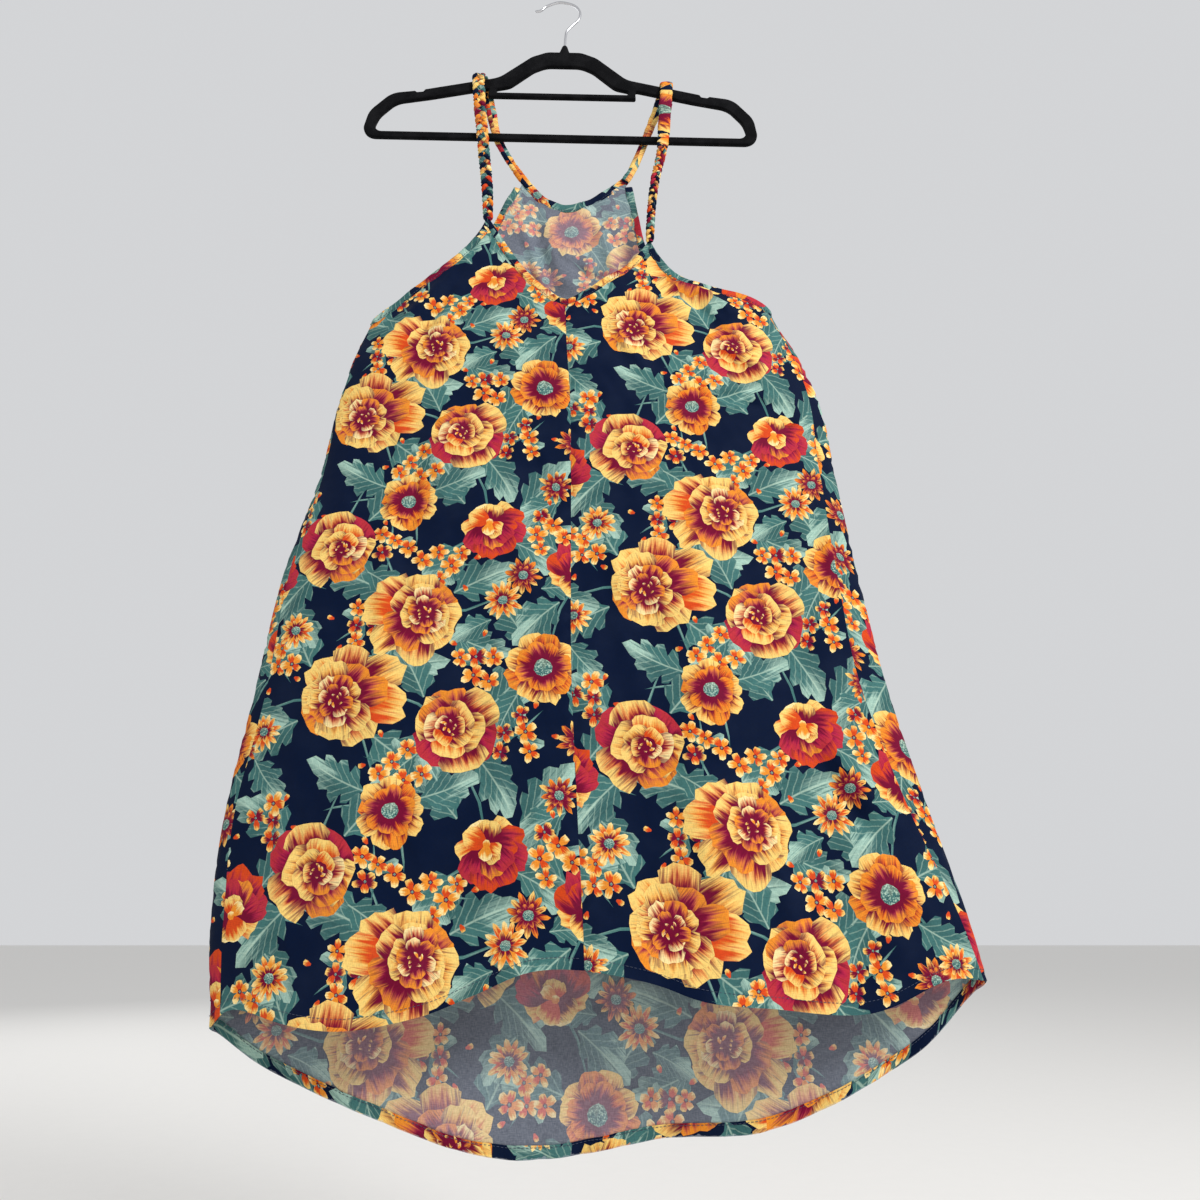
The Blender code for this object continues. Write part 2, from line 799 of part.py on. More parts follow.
def neck():
    """The tapered boss that the hook stands in."""
    rings = (
        (NECK_BASE_LEVEL, NECK_BASE_RADIUS, HANGER_DEPTH / 2 - 0.2),
        (NECK_TOP_LEVEL, NECK_TOP_RADIUS, NECK_TOP_RADIUS - 0.3),
    )
    sides = 20
    vertices = []
    for level, across, depth in rings:
        for side in range(sides):
            angle = 2 * math.pi * side / sides
            x = HANGER_AXIS + across * math.cos(angle)
            vertices.append(Vector((x, depth * math.sin(angle), level)))
    faces = [tuple(range(sides - 1, -1, -1)), tuple(range(sides, 2 * sides))]
    for side in range(sides):
        following = (side + 1) % sides
        faces.append((side, following, sides + following, sides + side))
    return make_object("neck", vertices, faces, None, smooth=False)


def build_hook(colours):
    route = smooth_path([(x, 0, z) for x, z in HOOK_ROUTE], 5)
    curve = bpy.data.curves.new("hanger_hook", "CURVE")
    curve.dimensions = "3D"
    curve.bevel_depth = HOOK_WIRE / 2 * MM
    curve.bevel_resolution = 2
    curve.use_fill_caps = True
    line = curve.splines.new("POLY")
    line.points.add(len(route) - 1)
    for point, place in zip(line.points, route):
        point.co = (*(place * MM), 1)
    curve.materials.append(colours("hanger_hook", HOOK_STEEL, roughness=0.25, metallic=1.0))
    hook = bpy.data.objects.new("hanger_hook", curve)
    hook.rotation_euler.y = math.radians(HANGER_TILT)
    bpy.context.scene.collection.objects.link(hook)


# --- The model ------------------------------------------------------------------------------


def material(name, colour, roughness=0.85, metallic=0.0):
    made = bpy.data.materials.new(name)
    made.use_nodes = True
    shader = made.node_tree.nodes["Principled BSDF"]
    shader.inputs["Base Color"].default_value = (*colour, 1)
    shader.inputs["Roughness"].default_value = roughness
    shader.inputs["Metallic"].default_value = metallic
    return made


def main():
    for old in list(bpy.data.objects):
        bpy.data.objects.remove(old)
    build_panels(material)
    build_bindings(material)
    build_straps(material)
    build_hanger(material)
    build_hook(material)


main()
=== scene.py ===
"""A floral rayon sundress on a slim flocked hanger, drawn round its fixed frame.

Lengths in the tables are millimetres. The dress faces -Y and hangs from the origin. Each cloth
piece is cut flat, printed flat, and then laid on one surface: rings round the body with folds and
creases on them. The print is a set of petals and leaves, worked out here as outlines on the flat
cloth, so that it is cut at the seams as a real one is.
"""

import math
import random
from collections import namedtuple

import bmesh
import bpy
import numpy as np
from mathutils import Matrix, Vector
from mathutils.geometry import delaunay_2d_cdt


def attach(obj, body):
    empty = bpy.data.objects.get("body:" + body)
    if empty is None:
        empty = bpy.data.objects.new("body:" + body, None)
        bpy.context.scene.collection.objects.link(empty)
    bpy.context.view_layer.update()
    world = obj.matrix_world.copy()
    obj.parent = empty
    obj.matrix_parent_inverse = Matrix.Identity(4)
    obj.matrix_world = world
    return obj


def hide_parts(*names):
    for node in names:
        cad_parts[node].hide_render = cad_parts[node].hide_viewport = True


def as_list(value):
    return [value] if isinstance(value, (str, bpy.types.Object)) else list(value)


bl_info = {
    "name": "Floral sundress on a hanger", "version": (1, 0, 0), "blender": (4, 5, 0),
    "location": "View3D > Sidebar > Sundress",
    "description": "Builds a printed high-low sundress and the flocked hanger that it hangs from",
    "category": "Object"
}

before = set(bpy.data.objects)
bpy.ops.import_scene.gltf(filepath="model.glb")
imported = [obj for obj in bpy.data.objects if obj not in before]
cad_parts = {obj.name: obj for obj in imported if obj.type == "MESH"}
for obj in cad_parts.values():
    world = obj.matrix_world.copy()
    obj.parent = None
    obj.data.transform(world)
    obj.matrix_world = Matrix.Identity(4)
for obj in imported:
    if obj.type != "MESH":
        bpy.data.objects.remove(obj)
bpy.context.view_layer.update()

MM = 0.001
BINDING_WIDTH = 8.5
NECK_BAND_WIDTH = 10.0
HANGER_DEPTH = 5.5
HANGER_TILT = 1.6
HANGER_AXIS = 8.7
HOOK_WIRE = 1.5
STRAP_REACH = 6.05  # from the middle of the hanger's arm to the middle of a strap
BRAID_SEAT = 3.5  # how far a braid and a tube run on into what they are sewn to
TUBE_SEAT = 4.0
HEM_SEWN = 1.6  # the row of stitches from the inner edge of a hem or binding
PANEL_STEP = (8.6, 8.6)  # the mesh between the edges of the print, across and along
HEM_STEP = (5.0, 2.0)
BINDING_STEP = (2.6, 0.9)
BRAID_STEP = (2.4, 1.2)
TUBE_STEP = (3.0, 1.3)
EDGE_STEPS = 8
HEM_POINTS = 64
SIDE_POINTS = 120
EDGE_HIDDEN = 2.0  # how far the cloth's cut edge runs on inside its binding
SEEN_STEP = 1.3
SHARE_LIMIT = 1.2
SIDE_DEPTH = 0.2
# The finer crush over the folds: seed, count, shortest and longest wave, and height.
CRINKLES = ((11, 14, 60, 170, 1.1), (12, 22, 14, 38, 0.28))
BACK_SHIFT = 400.0  # where the back's crush is taken from, so that it differs
PRINT_SEED = 5
HANGER_ARCS = 28


def table(kind, *rows):
    return [kind(*row) for row in rows]


def on_faces(kind, **faces):
    """Rows of a table that are grouped by the face they lie on."""
    return [kind(face, *row) for face, rows in faces.items() for row in rows]


def edge_points(*runs):
    """An edge from its runs: a face, or the fold between two, and the points there."""
    return [EdgePoint(face, *spot) for face, *spots in runs for spot in spots]


# Rings round the body: across for left, seam and right, depth for front and back, and the share
# of the half width that the back wraps to the front on each side.
Section = namedtuple("Section", "level left seam right front back turn_left turn_right")
SECTIONS = table(
    Section, (-1220, -250, 41, 364, -48, 28, 0.04, 0.01),
    (-1120, -259, 38, 361, -46, 27, 0.04, 0.01), (-1045, -269, 35, 350, -44, 26, 0.05, 0.03),
    (-960, -270, 30, 329, -41, 25, 0.04, 0.07), (-850, -258, 24, 304, -37, 23, 0.05, 0.10),
    (-740, -246, 22, 288, -33, 21, 0.03, 0.09), (-640, -223, 21, 276, -29, 19, 0.02, 0.07),
    (-560, -213, 19, 268, -26, 17, 0.01, 0.05), (-500, -201, 15, 249, -23, 16, 0.01, 0.03),
    (-450, -186, 13, 226, -19, 14, 0.00, 0.01), (-330, -184, 11, 214, -11, 11, 0.00, 0.00),
    (-240, -182, 10, 210, -8, 8, 0.00, 0.00)
)

# Folds are the wide shapes that the hanging cloth takes. Creases lie on them, narrower.
Fold = namedtuple("Fold", "face top_x top_z foot_x foot_z half_width height")
FOLDS = on_faces(
    Fold,
    front=[
        (-112, -400, -196, -560, 26, 7), (140, -425, 226, -545, 26, 7),
        (170, -520, 232, -590, 22, -5), (-120, -640, -170, -1180, 46, 9),
        (-55, -700, -70, -1160, 38, -7), (120, -660, 150, -1160, 44, 8),
        (205, -720, 255, -1180, 40, -7)
    ],
    back=[
        (-150, -620, -185, -1200, 46, 8), (-40, -560, -60, -1260, 50, -7),
        (100, -600, 120, -1260, 50, 9), (215, -700, 250, -1200, 40, -7)
    ]
)
Crease = namedtuple("Crease", "face top_x top_z foot_x foot_z bend half_width height")
CREASES = on_faces(
    Crease,
    front=[
        (-100, -400, -190, -500, -6, 7, 3.2), (-92, -412, -178, -520, -8, 6, -2.6),
        (-84, -395, -120, -500, 4, 6, 1.8), (126, -418, 205, -478, -7, 6, 3.0),
        (118, -428, 182, -500, -9, 6, -2.4), (150, -478, 232, -530, 8, 7, 2.6),
        (150, -548, 240, -556, 3, 6, 2.2), (160, -556, 236, -566, 4, 6, -1.8),
        (-138, -545, -146, -840, 5, 5, 1.6), (-126, -560, -134, -800, -4, 6, -1.3),
        (60, -470, 128, -560, 9, 8, 1.8), (-60, -450, -24, -520, 6, 7, 1.6),
        (235, -880, 312, -985, 10, 9, 3.2), (225, -900, 300, -1000, 8, 8, -2.4),
        (-196, -700, -232, -850, 8, 8, 2.2), (252, -620, 262, -780, -6, 6, 2.4),
        (244, -640, 250, -800, -4, 5, -1.8), (60, -640, 96, -900, 12, 10, 1.6),
        (-30, -560, -16, -760, 8, 9, 1.2), (-210, -930, -190, -1090, 6, 10, 2.2),
        (10, -930, -22, -1070, 6, 10, 1.8), (190, -960, 222, -1095, 8, 9, 2.2),
        (280, -1010, 330, -1075, -6, 8, 2.4)
    ],
    back=[
        (-20, -300, 10, -420, 10, 7, 2.6), (40, -310, 64, -440, -9, 8, -2.4),
        (-44, -330, -20, -470, -8, 6, 2.2), (70, -300, 20, -380, 8, 6, 2.0),
        (0, -360, 70, -400, 7, 6, 1.8), (-104, -410, -176, -520, -8, 8, 3.0),
        (122, -420, 208, -520, -8, 8, 3.0), (-150, -560, -160, -860, 8, 9, 2.2),
        (20, -520, 34, -820, -9, 9, 1.8), (180, -600, 210, -880, 10, 9, 2.4),
        (-90, -800, -110, -1120, -10, 12, 2.4), (150, -860, 190, -1130, 9, 12, 2.6),
        (30, -1000, 44, -1200, 8, 12, 2.2), (-190, -1010, -150, -1160, 6, 9, 2.2),
        (250, -1010, 262, -1150, -8, 10, 2.4)
    ]
)

EdgePoint = namedtuple("EdgePoint", "face across level")
NECK_EDGE = edge_points(
    (
        "front", (-72, -331), (-44, -378), (-24, -411), (-4, -432), (13, -443), (32, -433),
        (54, -415), (76, -396), (101, -361)
    )
)
BACK_NECK_EDGE = edge_points(
    ("back", (-28, -267), (-12, -287), (15, -295), (44, -284), (73, -259))
)
ARMHOLE_LEFT = edge_points(
    ("front", (-72, -331), (-85, -359), (-109, -388), (-137, -415), (-166, -440)),
    ("fold", (-187, -457)),
    ("back", (-164, -446), (-132, -424), (-102, -392), (-79, -350), (-62, -306), (-49, -276))
)
ARMHOLE_RIGHT = edge_points(
    ("front", (101, -361), (111, -383), (130, -409), (160, -422), (198, -430)),
    ("fold", (222, -443)),
    ("back", (190, -436), (152, -424), (118, -398), (100, -360), (91, -315), (85, -277))
)
FRONT_HEM = edge_points(
    ("fold", (-259, -1122)),
    (
        "front", (-237, -1107), (-190, -1116), (-142, -1120), (-87, -1110), (-52, -1097),
        (-6, -1079), (38, -1078), (88, -1087), (126, -1099), (175, -1104), (254, -1109),
        (318, -1086)
    ),
    ("fold", (358, -1087))
)
BACK_HEM = edge_points(
    ("fold", (-259, -1122)),
    (
        "back", (-221, -1149), (-156, -1179), (-63, -1211), (8, -1218), (83, -1206), (187, -1196),
        (291, -1148)
    ),
    ("fold", (358, -1087))
)

StrapPoint = namedtuple("StrapPoint", "across depth level width")
FRONT_STRAP_LEFT = table(
    StrapPoint, (-72, -10, -331.7, 11), (-74, -10, -296, 13), (-79, -8, -252, 13.5),
    (-84, -7, -207, 14), (-89, -STRAP_REACH, -162, 14.5), (-92, -STRAP_REACH, -125.5, 14.5)
)
BACK_STRAP_LEFT = table(
    StrapPoint, (-32.7, 8.3, -269.4, 9.5), (-44, 8.2, -252, 9.5), (-59, 7.5, -225, 9.5),
    (-70, 7, -198, 10.5), (-78, STRAP_REACH, -160, 12), (-86, STRAP_REACH, -124.5, 13)
)
FRONT_STRAP_RIGHT = table(
    StrapPoint, (101, -11.5, -361.6, 9.5), (104, -10, -316, 10), (109, -8, -276, 10.5),
    (117, -7, -236, 12), (121, -STRAP_REACH, -190, 14.5), (125, -STRAP_REACH, -138, 14.5)
)
BACK_STRAP_RIGHT = table(
    StrapPoint, (78, 8.1, -261.2, 9.5), (84, 8.0, -250, 9.5), (93, 7.5, -226, 9.5),
    (101, 7, -202, 9.5), (113, STRAP_REACH, -166, 11), (122, STRAP_REACH, -137.5, 13)
)
BRAID_TOP_LEFT = -146
BRAID_TOP_RIGHT = -233

Corner = namedtuple("Corner", "across level radius")
HANGER_OUTLINE = table(
    Corner, (20, -82, 22), (38, -90, 24), (74, -123, 28), (152, -142, 60), (158, -143.5, 2),
    (160, -147, 2), (167, -148, 2), (169, -146, 2), (196, -150, 26), (219, -178, 30),
    (225, -216, 15)
)
MAIN_WINDOW = table(
    Corner, (85, -152.5, 2), (84, -140, 2), (150, -156, 60), (189, -164, 24), (206, -185, 30),
    (212, -207, 8)
)
HUMP_WINDOW = table(
    Corner, (20, -104.5, 26), (34, -112, 24), (60, -137, 20), (76, -141, 3), (76, -146, 2)
)
# The neck for the hook: levels, and half widths across and through.
HANGER_NECK = (
    (-90, 9.5, 2.55), (-84, 7.4, 2.55), (-78, 5.0, 2.5), (-72, 3.2, 2.4), (-70.8, 2.4, 1.9)
)
HOOK_ROUTE = [
    (8.7, -70.7), (8.9, -56), (10.5, -45), (17.5, -35), (23.6, -26), (24.6, -14), (17, -3.2),
    (0, 1.5), (-15, -5), (-22, -12.5), (-28, -14.5)
]

# One repeat of the print. Kinds are the flowers below; turns are degrees.
TILE_WIDTH = 292.0
TILE_HEIGHT = 285.0
Flower = namedtuple("Flower", "kind x y radius turn")
FLOWERS = table(
    Flower, ("peony", 52, 62, 45, 20), ("rose", 148, 36, 37, -15), ("poppy", 226, 88, 32, 40),
    ("peony", 116, 138, 43, 205), ("pansy", 258, 172, 36, 80), ("rose", 38, 206, 37, 160),
    ("pansy", 176, 226, 35, -60), ("poppy", 98, 252, 28, 10), ("daisy", 190, 150, 18, 10),
    ("ember", 208, 172, 17, 50), ("daisy", 4, 126, 18, 0), ("ember", 254, 24, 18, 20),
    ("daisy", 274, 36, 17, 45), ("ember", 236, 264, 16, 0)
)
Spray = namedtuple("Spray", "x y count spread turn")
SPRAYS = table(
    Spray, (204, 28, 5, 24, 30), (170, 92, 5, 22, 110), (66, 132, 5, 24, 200),
    (230, 218, 5, 24, 60), (280, 100, 5, 22, 290), (136, 186, 5, 24, 340), (88, 204, 4, 20, 80),
    (104, 4, 5, 24, 150), (284, 244, 4, 20, 20)
)
Leaf = namedtuple("Leaf", "x y angle length half_width bend")
LEAVES = table(
    Leaf, (80, 30, -40, 54, 15, 0.14), (22, 92, 120, 58, 16, -0.12), (14, 44, 200, 50, 14, 0.16),
    (86, 84, 20, 50, 13, -0.18), (176, 50, 40, 56, 15, 0.12), (124, 62, 110, 48, 13, 0.16),
    (168, 12, -50, 50, 14, -0.16), (118, 14, 215, 44, 12, 0.14), (206, 66, 235, 44, 12, 0.16),
    (250, 100, 25, 52, 14, -0.15), (212, 112, 120, 46, 13, 0.12), (246, 66, -35, 46, 12, 0.2),
    (84, 160, 150, 54, 15, 0.14), (146, 158, 30, 50, 15, -0.14), (148, 118, -30, 44, 12, 0.18),
    (96, 108, 235, 46, 12, -0.16), (238, 196, 140, 56, 15, 0.14), (282, 192, 50, 52, 14, -0.12),
    (240, 148, 215, 46, 13, 0.16), (284, 150, -40, 44, 12, -0.2), (12, 232, 140, 52, 14, 0.15),
    (62, 232, 50, 52, 15, -0.15), (16, 178, 220, 50, 14, 0.12), (66, 180, -30, 44, 12, -0.16),
    (152, 246, 130, 50, 14, -0.14), (204, 242, 40, 54, 15, 0.13), (152, 202, 225, 46, 13, 0.18),
    (200, 204, -25, 44, 12, -0.16), (122, 262, 15, 44, 12, 0.15), (76, 268, 160, 46, 13, -0.15),
    (240, 250, 200, 40, 11, 0.2), (180, 132, 200, 34, 9, 0.2), (224, 160, 10, 30, 9, -0.2),
    (268, 12, -60, 40, 11, 0.2)
)

# Outlines of a petal or leaf, from its base: how far along, and the share of its half width.
BROAD = [(0.0, 0.14), (0.25, 0.6), (0.6, 1.0), (0.8, 0.96), (0.93, 0.72), (1.0, 0.36)]
CUPPED = [(0.0, 0.3), (0.35, 0.88), (0.7, 1.0), (0.9, 0.8), (1.0, 0.4)]
SLIM = [(0.0, 0.35), (0.5, 1.0), (0.85, 0.66)]
ROUND = [(0.0, 0.3), (0.5, 0.95), (0.9, 0.78)]
LOBED = [
    (0.0, 0.05), (0.1, 0.26), (0.17, 0.8), (0.27, 0.92), (0.31, 0.6), (0.42, 1.05), (0.52, 1.0),
    (0.55, 0.62), (0.68, 0.86), (0.76, 0.72), (0.79, 0.42), (0.9, 0.4)
]


# --- The surface that all the cloth lies on -------------------------------------------------


def table_values(name, levels):
    """A column of SECTIONS at any levels: a smooth curve through its rows."""
    keys = np.array([row.level for row in SECTIONS], float)
    values = np.array([getattr(row, name) for row in SECTIONS], float)
    levels = np.clip(levels, keys[0], keys[-1])
    low = np.clip(np.searchsorted(keys, levels, side="right") - 1, 0, len(keys) - 2)
    before = np.maximum(np.arange(len(keys)) - 1, 0)
    after = np.minimum(np.arange(len(keys)) + 1, len(keys) - 1)
    slopes = (values[after] - values[before]) / (keys[after] - keys[before])
    span = keys[low + 1] - keys[low]
    part = (levels - keys[low]) / span
    rise = part * part * (3 - 2 * part)
    pulled = slopes[low] * part * (1 - part) ** 2 - slopes[low + 1] * part**2 * (1 - part)
    return values[low] * (1 - rise) + values[low + 1] * rise + span * pulled


def smooth_path(points, steps):
    """A Catmull-Rom curve through points, with some steps between each two."""
    points = [Vector(point) for point in points]
    padded = [2 * points[0] - points[1], *points, 2 * points[-1] - points[-2]]
    path = []
    for index in range(1, len(padded) - 2):
        before, start, end, after = padded[index - 1 : index + 3]
        for step in range(steps):
            t = step / steps
            bow = 2 * before - 5 * start + 4 * end - after
            twist = 3 * start - before - 3 * end + after
            path.append(0.5 * (2 * start + (end - before) * t + bow * t * t + twist * t**3))
    path.append(points[-1])
    return path


def ridge(row, bend, across, level):
    """Where each point stands on a fold: the share along it, and how far aside."""
    run_x = row.foot_x - row.top_x
    run_z = row.foot_z - row.top_z
    length = math.hypot(run_x, run_z)
    off_x = across - row.top_x
    off_z = level - row.top_z
    along = (off_x * run_x + off_z * run_z) / length**2
    aside = (off_x * run_z - off_z * run_x) / length
    return along, aside - 4 * bend * along * (1 - along)


def crinkle(across, level, seed, count, shortest, longest):
    """Even, directionless unevenness, about 1 high."""
    draw = random.Random(seed)
    total = np.zeros_like(across)
    for _ in range(count):
        angle = draw.uniform(0, math.pi)
        wave = 2 * math.pi / draw.uniform(shortest, longest)
        start = draw.uniform(0, 2 * math.pi)
        total += np.cos((across * math.cos(angle) + level * math.sin(angle)) * wave + start)
    return total / math.sqrt(count)


def lifts(on_front, across, level):
    """How far folds and creases lift the cloth off its ring."""
    strength = sizes().crease_strength
    height = np.zeros_like(across)
    for row in FOLDS:
        along, aside = ridge(row, 0, across, level)
        aside = np.abs(aside)
        on = (on_front == (row.face == "front")) & (along > 0) & (along < 1)
        on &= aside < row.half_width
        fade = np.sin(math.pi * np.clip(np.minimum(along * 1.6, 1 - 0.5 * along), 0, 1) / 2) ** 2
        height += on * row.height * fade * np.cos(math.pi * aside / row.half_width / 2) ** 2
    for row in CREASES:
        along, aside = ridge(row, row.bend, across, level)
        on = (on_front == (row.face == "front")) & (along > 0) & (along < 1)
        fade = np.sin(math.pi * np.clip(along, 0, 1)) ** 0.8
        width = row.half_width * (0.8 + 0.5 * np.clip(along, 0, 1))
        height += on * strength * row.height * fade * np.exp(-((aside / width) ** 2))
    across = across + np.where(on_front, 0.0, BACK_SHIFT)
    for seed, count, shortest, longest, high in CRINKLES:
        height += strength * high * crinkle(across, level, seed, count, shortest, longest)
    return height


def ring_angle(turn):
    """From 0 at the middle of a face to a right angle at the side folds."""
    share = np.abs(turn)
    return 3 * np.arcsin(np.clip(np.minimum(share, 2 - share), 0, 1) / 2)


def ring_depth(turn, level):
    """How far back the ring lies, without its folds."""
    front = table_values("front", level)
    back = table_values("back", level)
    side_depth = SIDE_DEPTH * (front + back)
    depth = np.where(np.abs(turn) <= 1, front, back)
    return side_depth + (depth - side_depth) * np.cos(ring_angle(turn))


def ring_points(turn, level):
    """Points on the cloth's outer face.

    turn runs round the body: 0 is the front seam, 1 the right side fold, -1 the left one, and
    2 or -2 the middle of the back.
    """
    turn = np.asarray(turn, float)
    level = np.asarray(level, float)
    on_front = np.abs(turn) <= 1
    angle = ring_angle(turn)
    seam = table_values("seam", level)
    edge = np.where(turn >= 0, table_values("right", level), table_values("left", level))
    across = seam + (edge - seam) * np.sin(angle)
    lift = lifts(on_front, across, level) * np.cos(angle)
    through = ring_depth(turn, level) + np.where(on_front, -1.0, 1.0) * lift
    return np.stack([across, through, level], axis=-1)


def from_middle(face, share):
    """A turn from its share of a face, counted from the middle, or that share from its turn."""
    return 2 - share if face == "back" else share


def turn_at(face, across, level):
    """The ring's turn where the cloth of one face is this far across."""
    seam = float(table_values("seam", level))
    side = 1 if across >= seam else -1
    edge = float(table_values("right" if side > 0 else "left", level))
    share = min(abs((across - seam) / (edge - seam)), 1)
    turn = from_middle(face, 2 * math.sin(math.asin(share) / 3))
    return side * (1 if face == "fold" else turn)


def unit(vectors):
    return vectors / np.maximum(np.linalg.norm(vectors, axis=-1, keepdims=True), 1e-9)


def lengths_along(points):
    """The length run at each of a row of points."""
    gaps = np.linalg.norm(np.diff(points, axis=0), axis=1)
    return np.concatenate([[0], np.cumsum(gaps)])


def rows_at(spots, lengths, rows):
    """Every column of some rows at any lengths between them."""
    return np.stack([np.interp(spots, lengths, column) for column in rows.T], axis=1)


def ring_slopes(turn, level):
    """How the surface runs round and down at each point."""
    step = np.where(np.abs(turn) < 1.9, 0.004, -0.004) * np.where(turn >= 0, 1, -1)
    round_step = (ring_points(turn + step, level) - ring_points(turn, level)) / step[..., None]
    level_step = ring_points(turn, level + 0.5) - ring_points(turn, level - 0.5)
    return round_step, level_step


def outward_normals(turn, level):
    round_step, level_step = ring_slopes(turn, level)
    return unit(np.cross(round_step, level_step))


def shifted(turn, level, offset):
    """The turns and levels reached by short steps along the surface."""
    round_step, level_step = ring_slopes(turn, level)
    a = (round_step * round_step).sum(-1)
    b = (round_step * level_step).sum(-1)
    c = (level_step * level_step).sum(-1)
    along_round = (offset * round_step).sum(-1)
    along_level = (offset * level_step).sum(-1)
    scale = a * c - b * b
    return (
        turn + (along_round * c - along_level * b) / scale,
        level + (along_level * a - along_round * b) / scale
    )


# --- Edges, and the flat cut of each panel --------------------------------------------------


def spread_edge(rows):
    """The turns and levels of a finished edge, smooth between the rows of its table."""
    points = smooth_path([(row.across, row.level) for row in rows], EDGE_STEPS)
    turns = []
    for index, point in enumerate(points):
        row = rows[index // EDGE_STEPS]
        face = row.face
        if index % EDGE_STEPS and face == "fold":
            face = rows[index // EDGE_STEPS + 1].face
        turns.append(turn_at(face, point.x, point.y))
    return np.array(turns), np.array([point.y for point in points])


def edge_frame(turn, level, inward):
    """Along an edge: its points, the unit steps into the cloth, the normals and the lengths."""
    points = ring_points(turn, level)
    normals = outward_normals(turn, level)
    tangents = np.gradient(points, axis=0)
    steps = inward * unit(np.cross(normals, tangents))
    return points, steps, normals, lengths_along(points)


def inner_edge(rows, inward, width):
    """A finished edge moved into the cloth, as turns and levels."""
    turn, level = spread_edge(rows)
    steps = edge_frame(turn, level, inward)[1]
    return shifted(turn, level, steps * width)


class FlatCut:
    """The flat plane of a panel: arc length round the ring from its middle, against level."""

    TURNS = np.linspace(0, 1.35, 109)
    LEVEL_STEP = 10.0
    LEVELS = np.arange(-1250.0, -230.0, LEVEL_STEP)

    def __init__(self, face):
        self.face = face
        self.halves = {}
        turns, levels = np.meshgrid(self.TURNS, self.LEVELS)
        for side in (-1, 1):
            at = side * from_middle(face, turns)
            points = ring_points(at, levels)[..., :2]
            points[..., 1] = ring_depth(at, levels)
            gaps = np.linalg.norm(np.diff(points, axis=1), axis=2)
            reach = np.concatenate([np.zeros((len(levels), 1)), np.cumsum(gaps, axis=1)], axis=1)
            self.halves[side] = reach
        # The outside is seen with the cut's X to the right, so a back runs the other way.
        self.way = 1 if face == "front" else -1

    def reach_rows(self, side, level):
        row = (level - self.LEVELS[0]) / self.LEVEL_STEP
        row = np.clip(row, 0, len(self.LEVELS) - 1.001)
        low = row.astype(int)
        part = (row - low)[:, None]
        reach = self.halves[side]
        return reach[low] * (1 - part) + reach[low + 1] * part

    def each_half(self, where, level):
        """The halves that have points: the side, which points, and their rows of reach."""
        for side in (-1, 1):
            pick = (where >= 0) if side > 0 else (where < 0)
            if pick.any():
                yield side, pick, self.reach_rows(side, level[pick])

    def to_flat(self, turn, level):
        turn = np.asarray(turn, float)
        level = np.asarray(level, float)
        flat = np.zeros_like(turn)
        for side, pick, rows in self.each_half(turn, level):
            share = from_middle(self.face, np.abs(turn[pick]))
            spot = np.clip(share / self.TURNS[1], 0, len(self.TURNS) - 1.001)
            low = spot.astype(int)
            part = spot - low
            index = np.arange(len(low))
            reach = rows[index, low] * (1 - part) + rows[index, low + 1] * part
            flat[pick] = side * self.way * reach
        return np.stack([flat, level], axis=-1)

    def to_ring(self, flat):
        """Turns for points of the flat cut, whose levels stay as they are."""
        across = flat[:, 0] * self.way
        level = flat[:, 1]
        turn = np.zeros(len(flat))
        for side, pick, rows in self.each_half(across, level):
            wanted = np.abs(across[pick])
            low = np.clip((rows < wanted[:, None]).sum(axis=1) - 1, 0, len(self.TURNS) - 2)
            index = np.arange(len(low))
            start = rows[index, low]
            part = (wanted - start) / (rows[index, low + 1] - start)
            share = (low + part) * self.TURNS[1]
            turn[pick] = side * from_middle(self.face, share)
        return turn


def seam_turn(side, level):
    """The turns of a side seam, which the back may wrap round to the front."""
    wrap = np.maximum(table_values("turn_right" if side > 0 else "turn_left", level), 0)
    return 2 * np.sin(np.arcsin(1 - wrap) / 3)


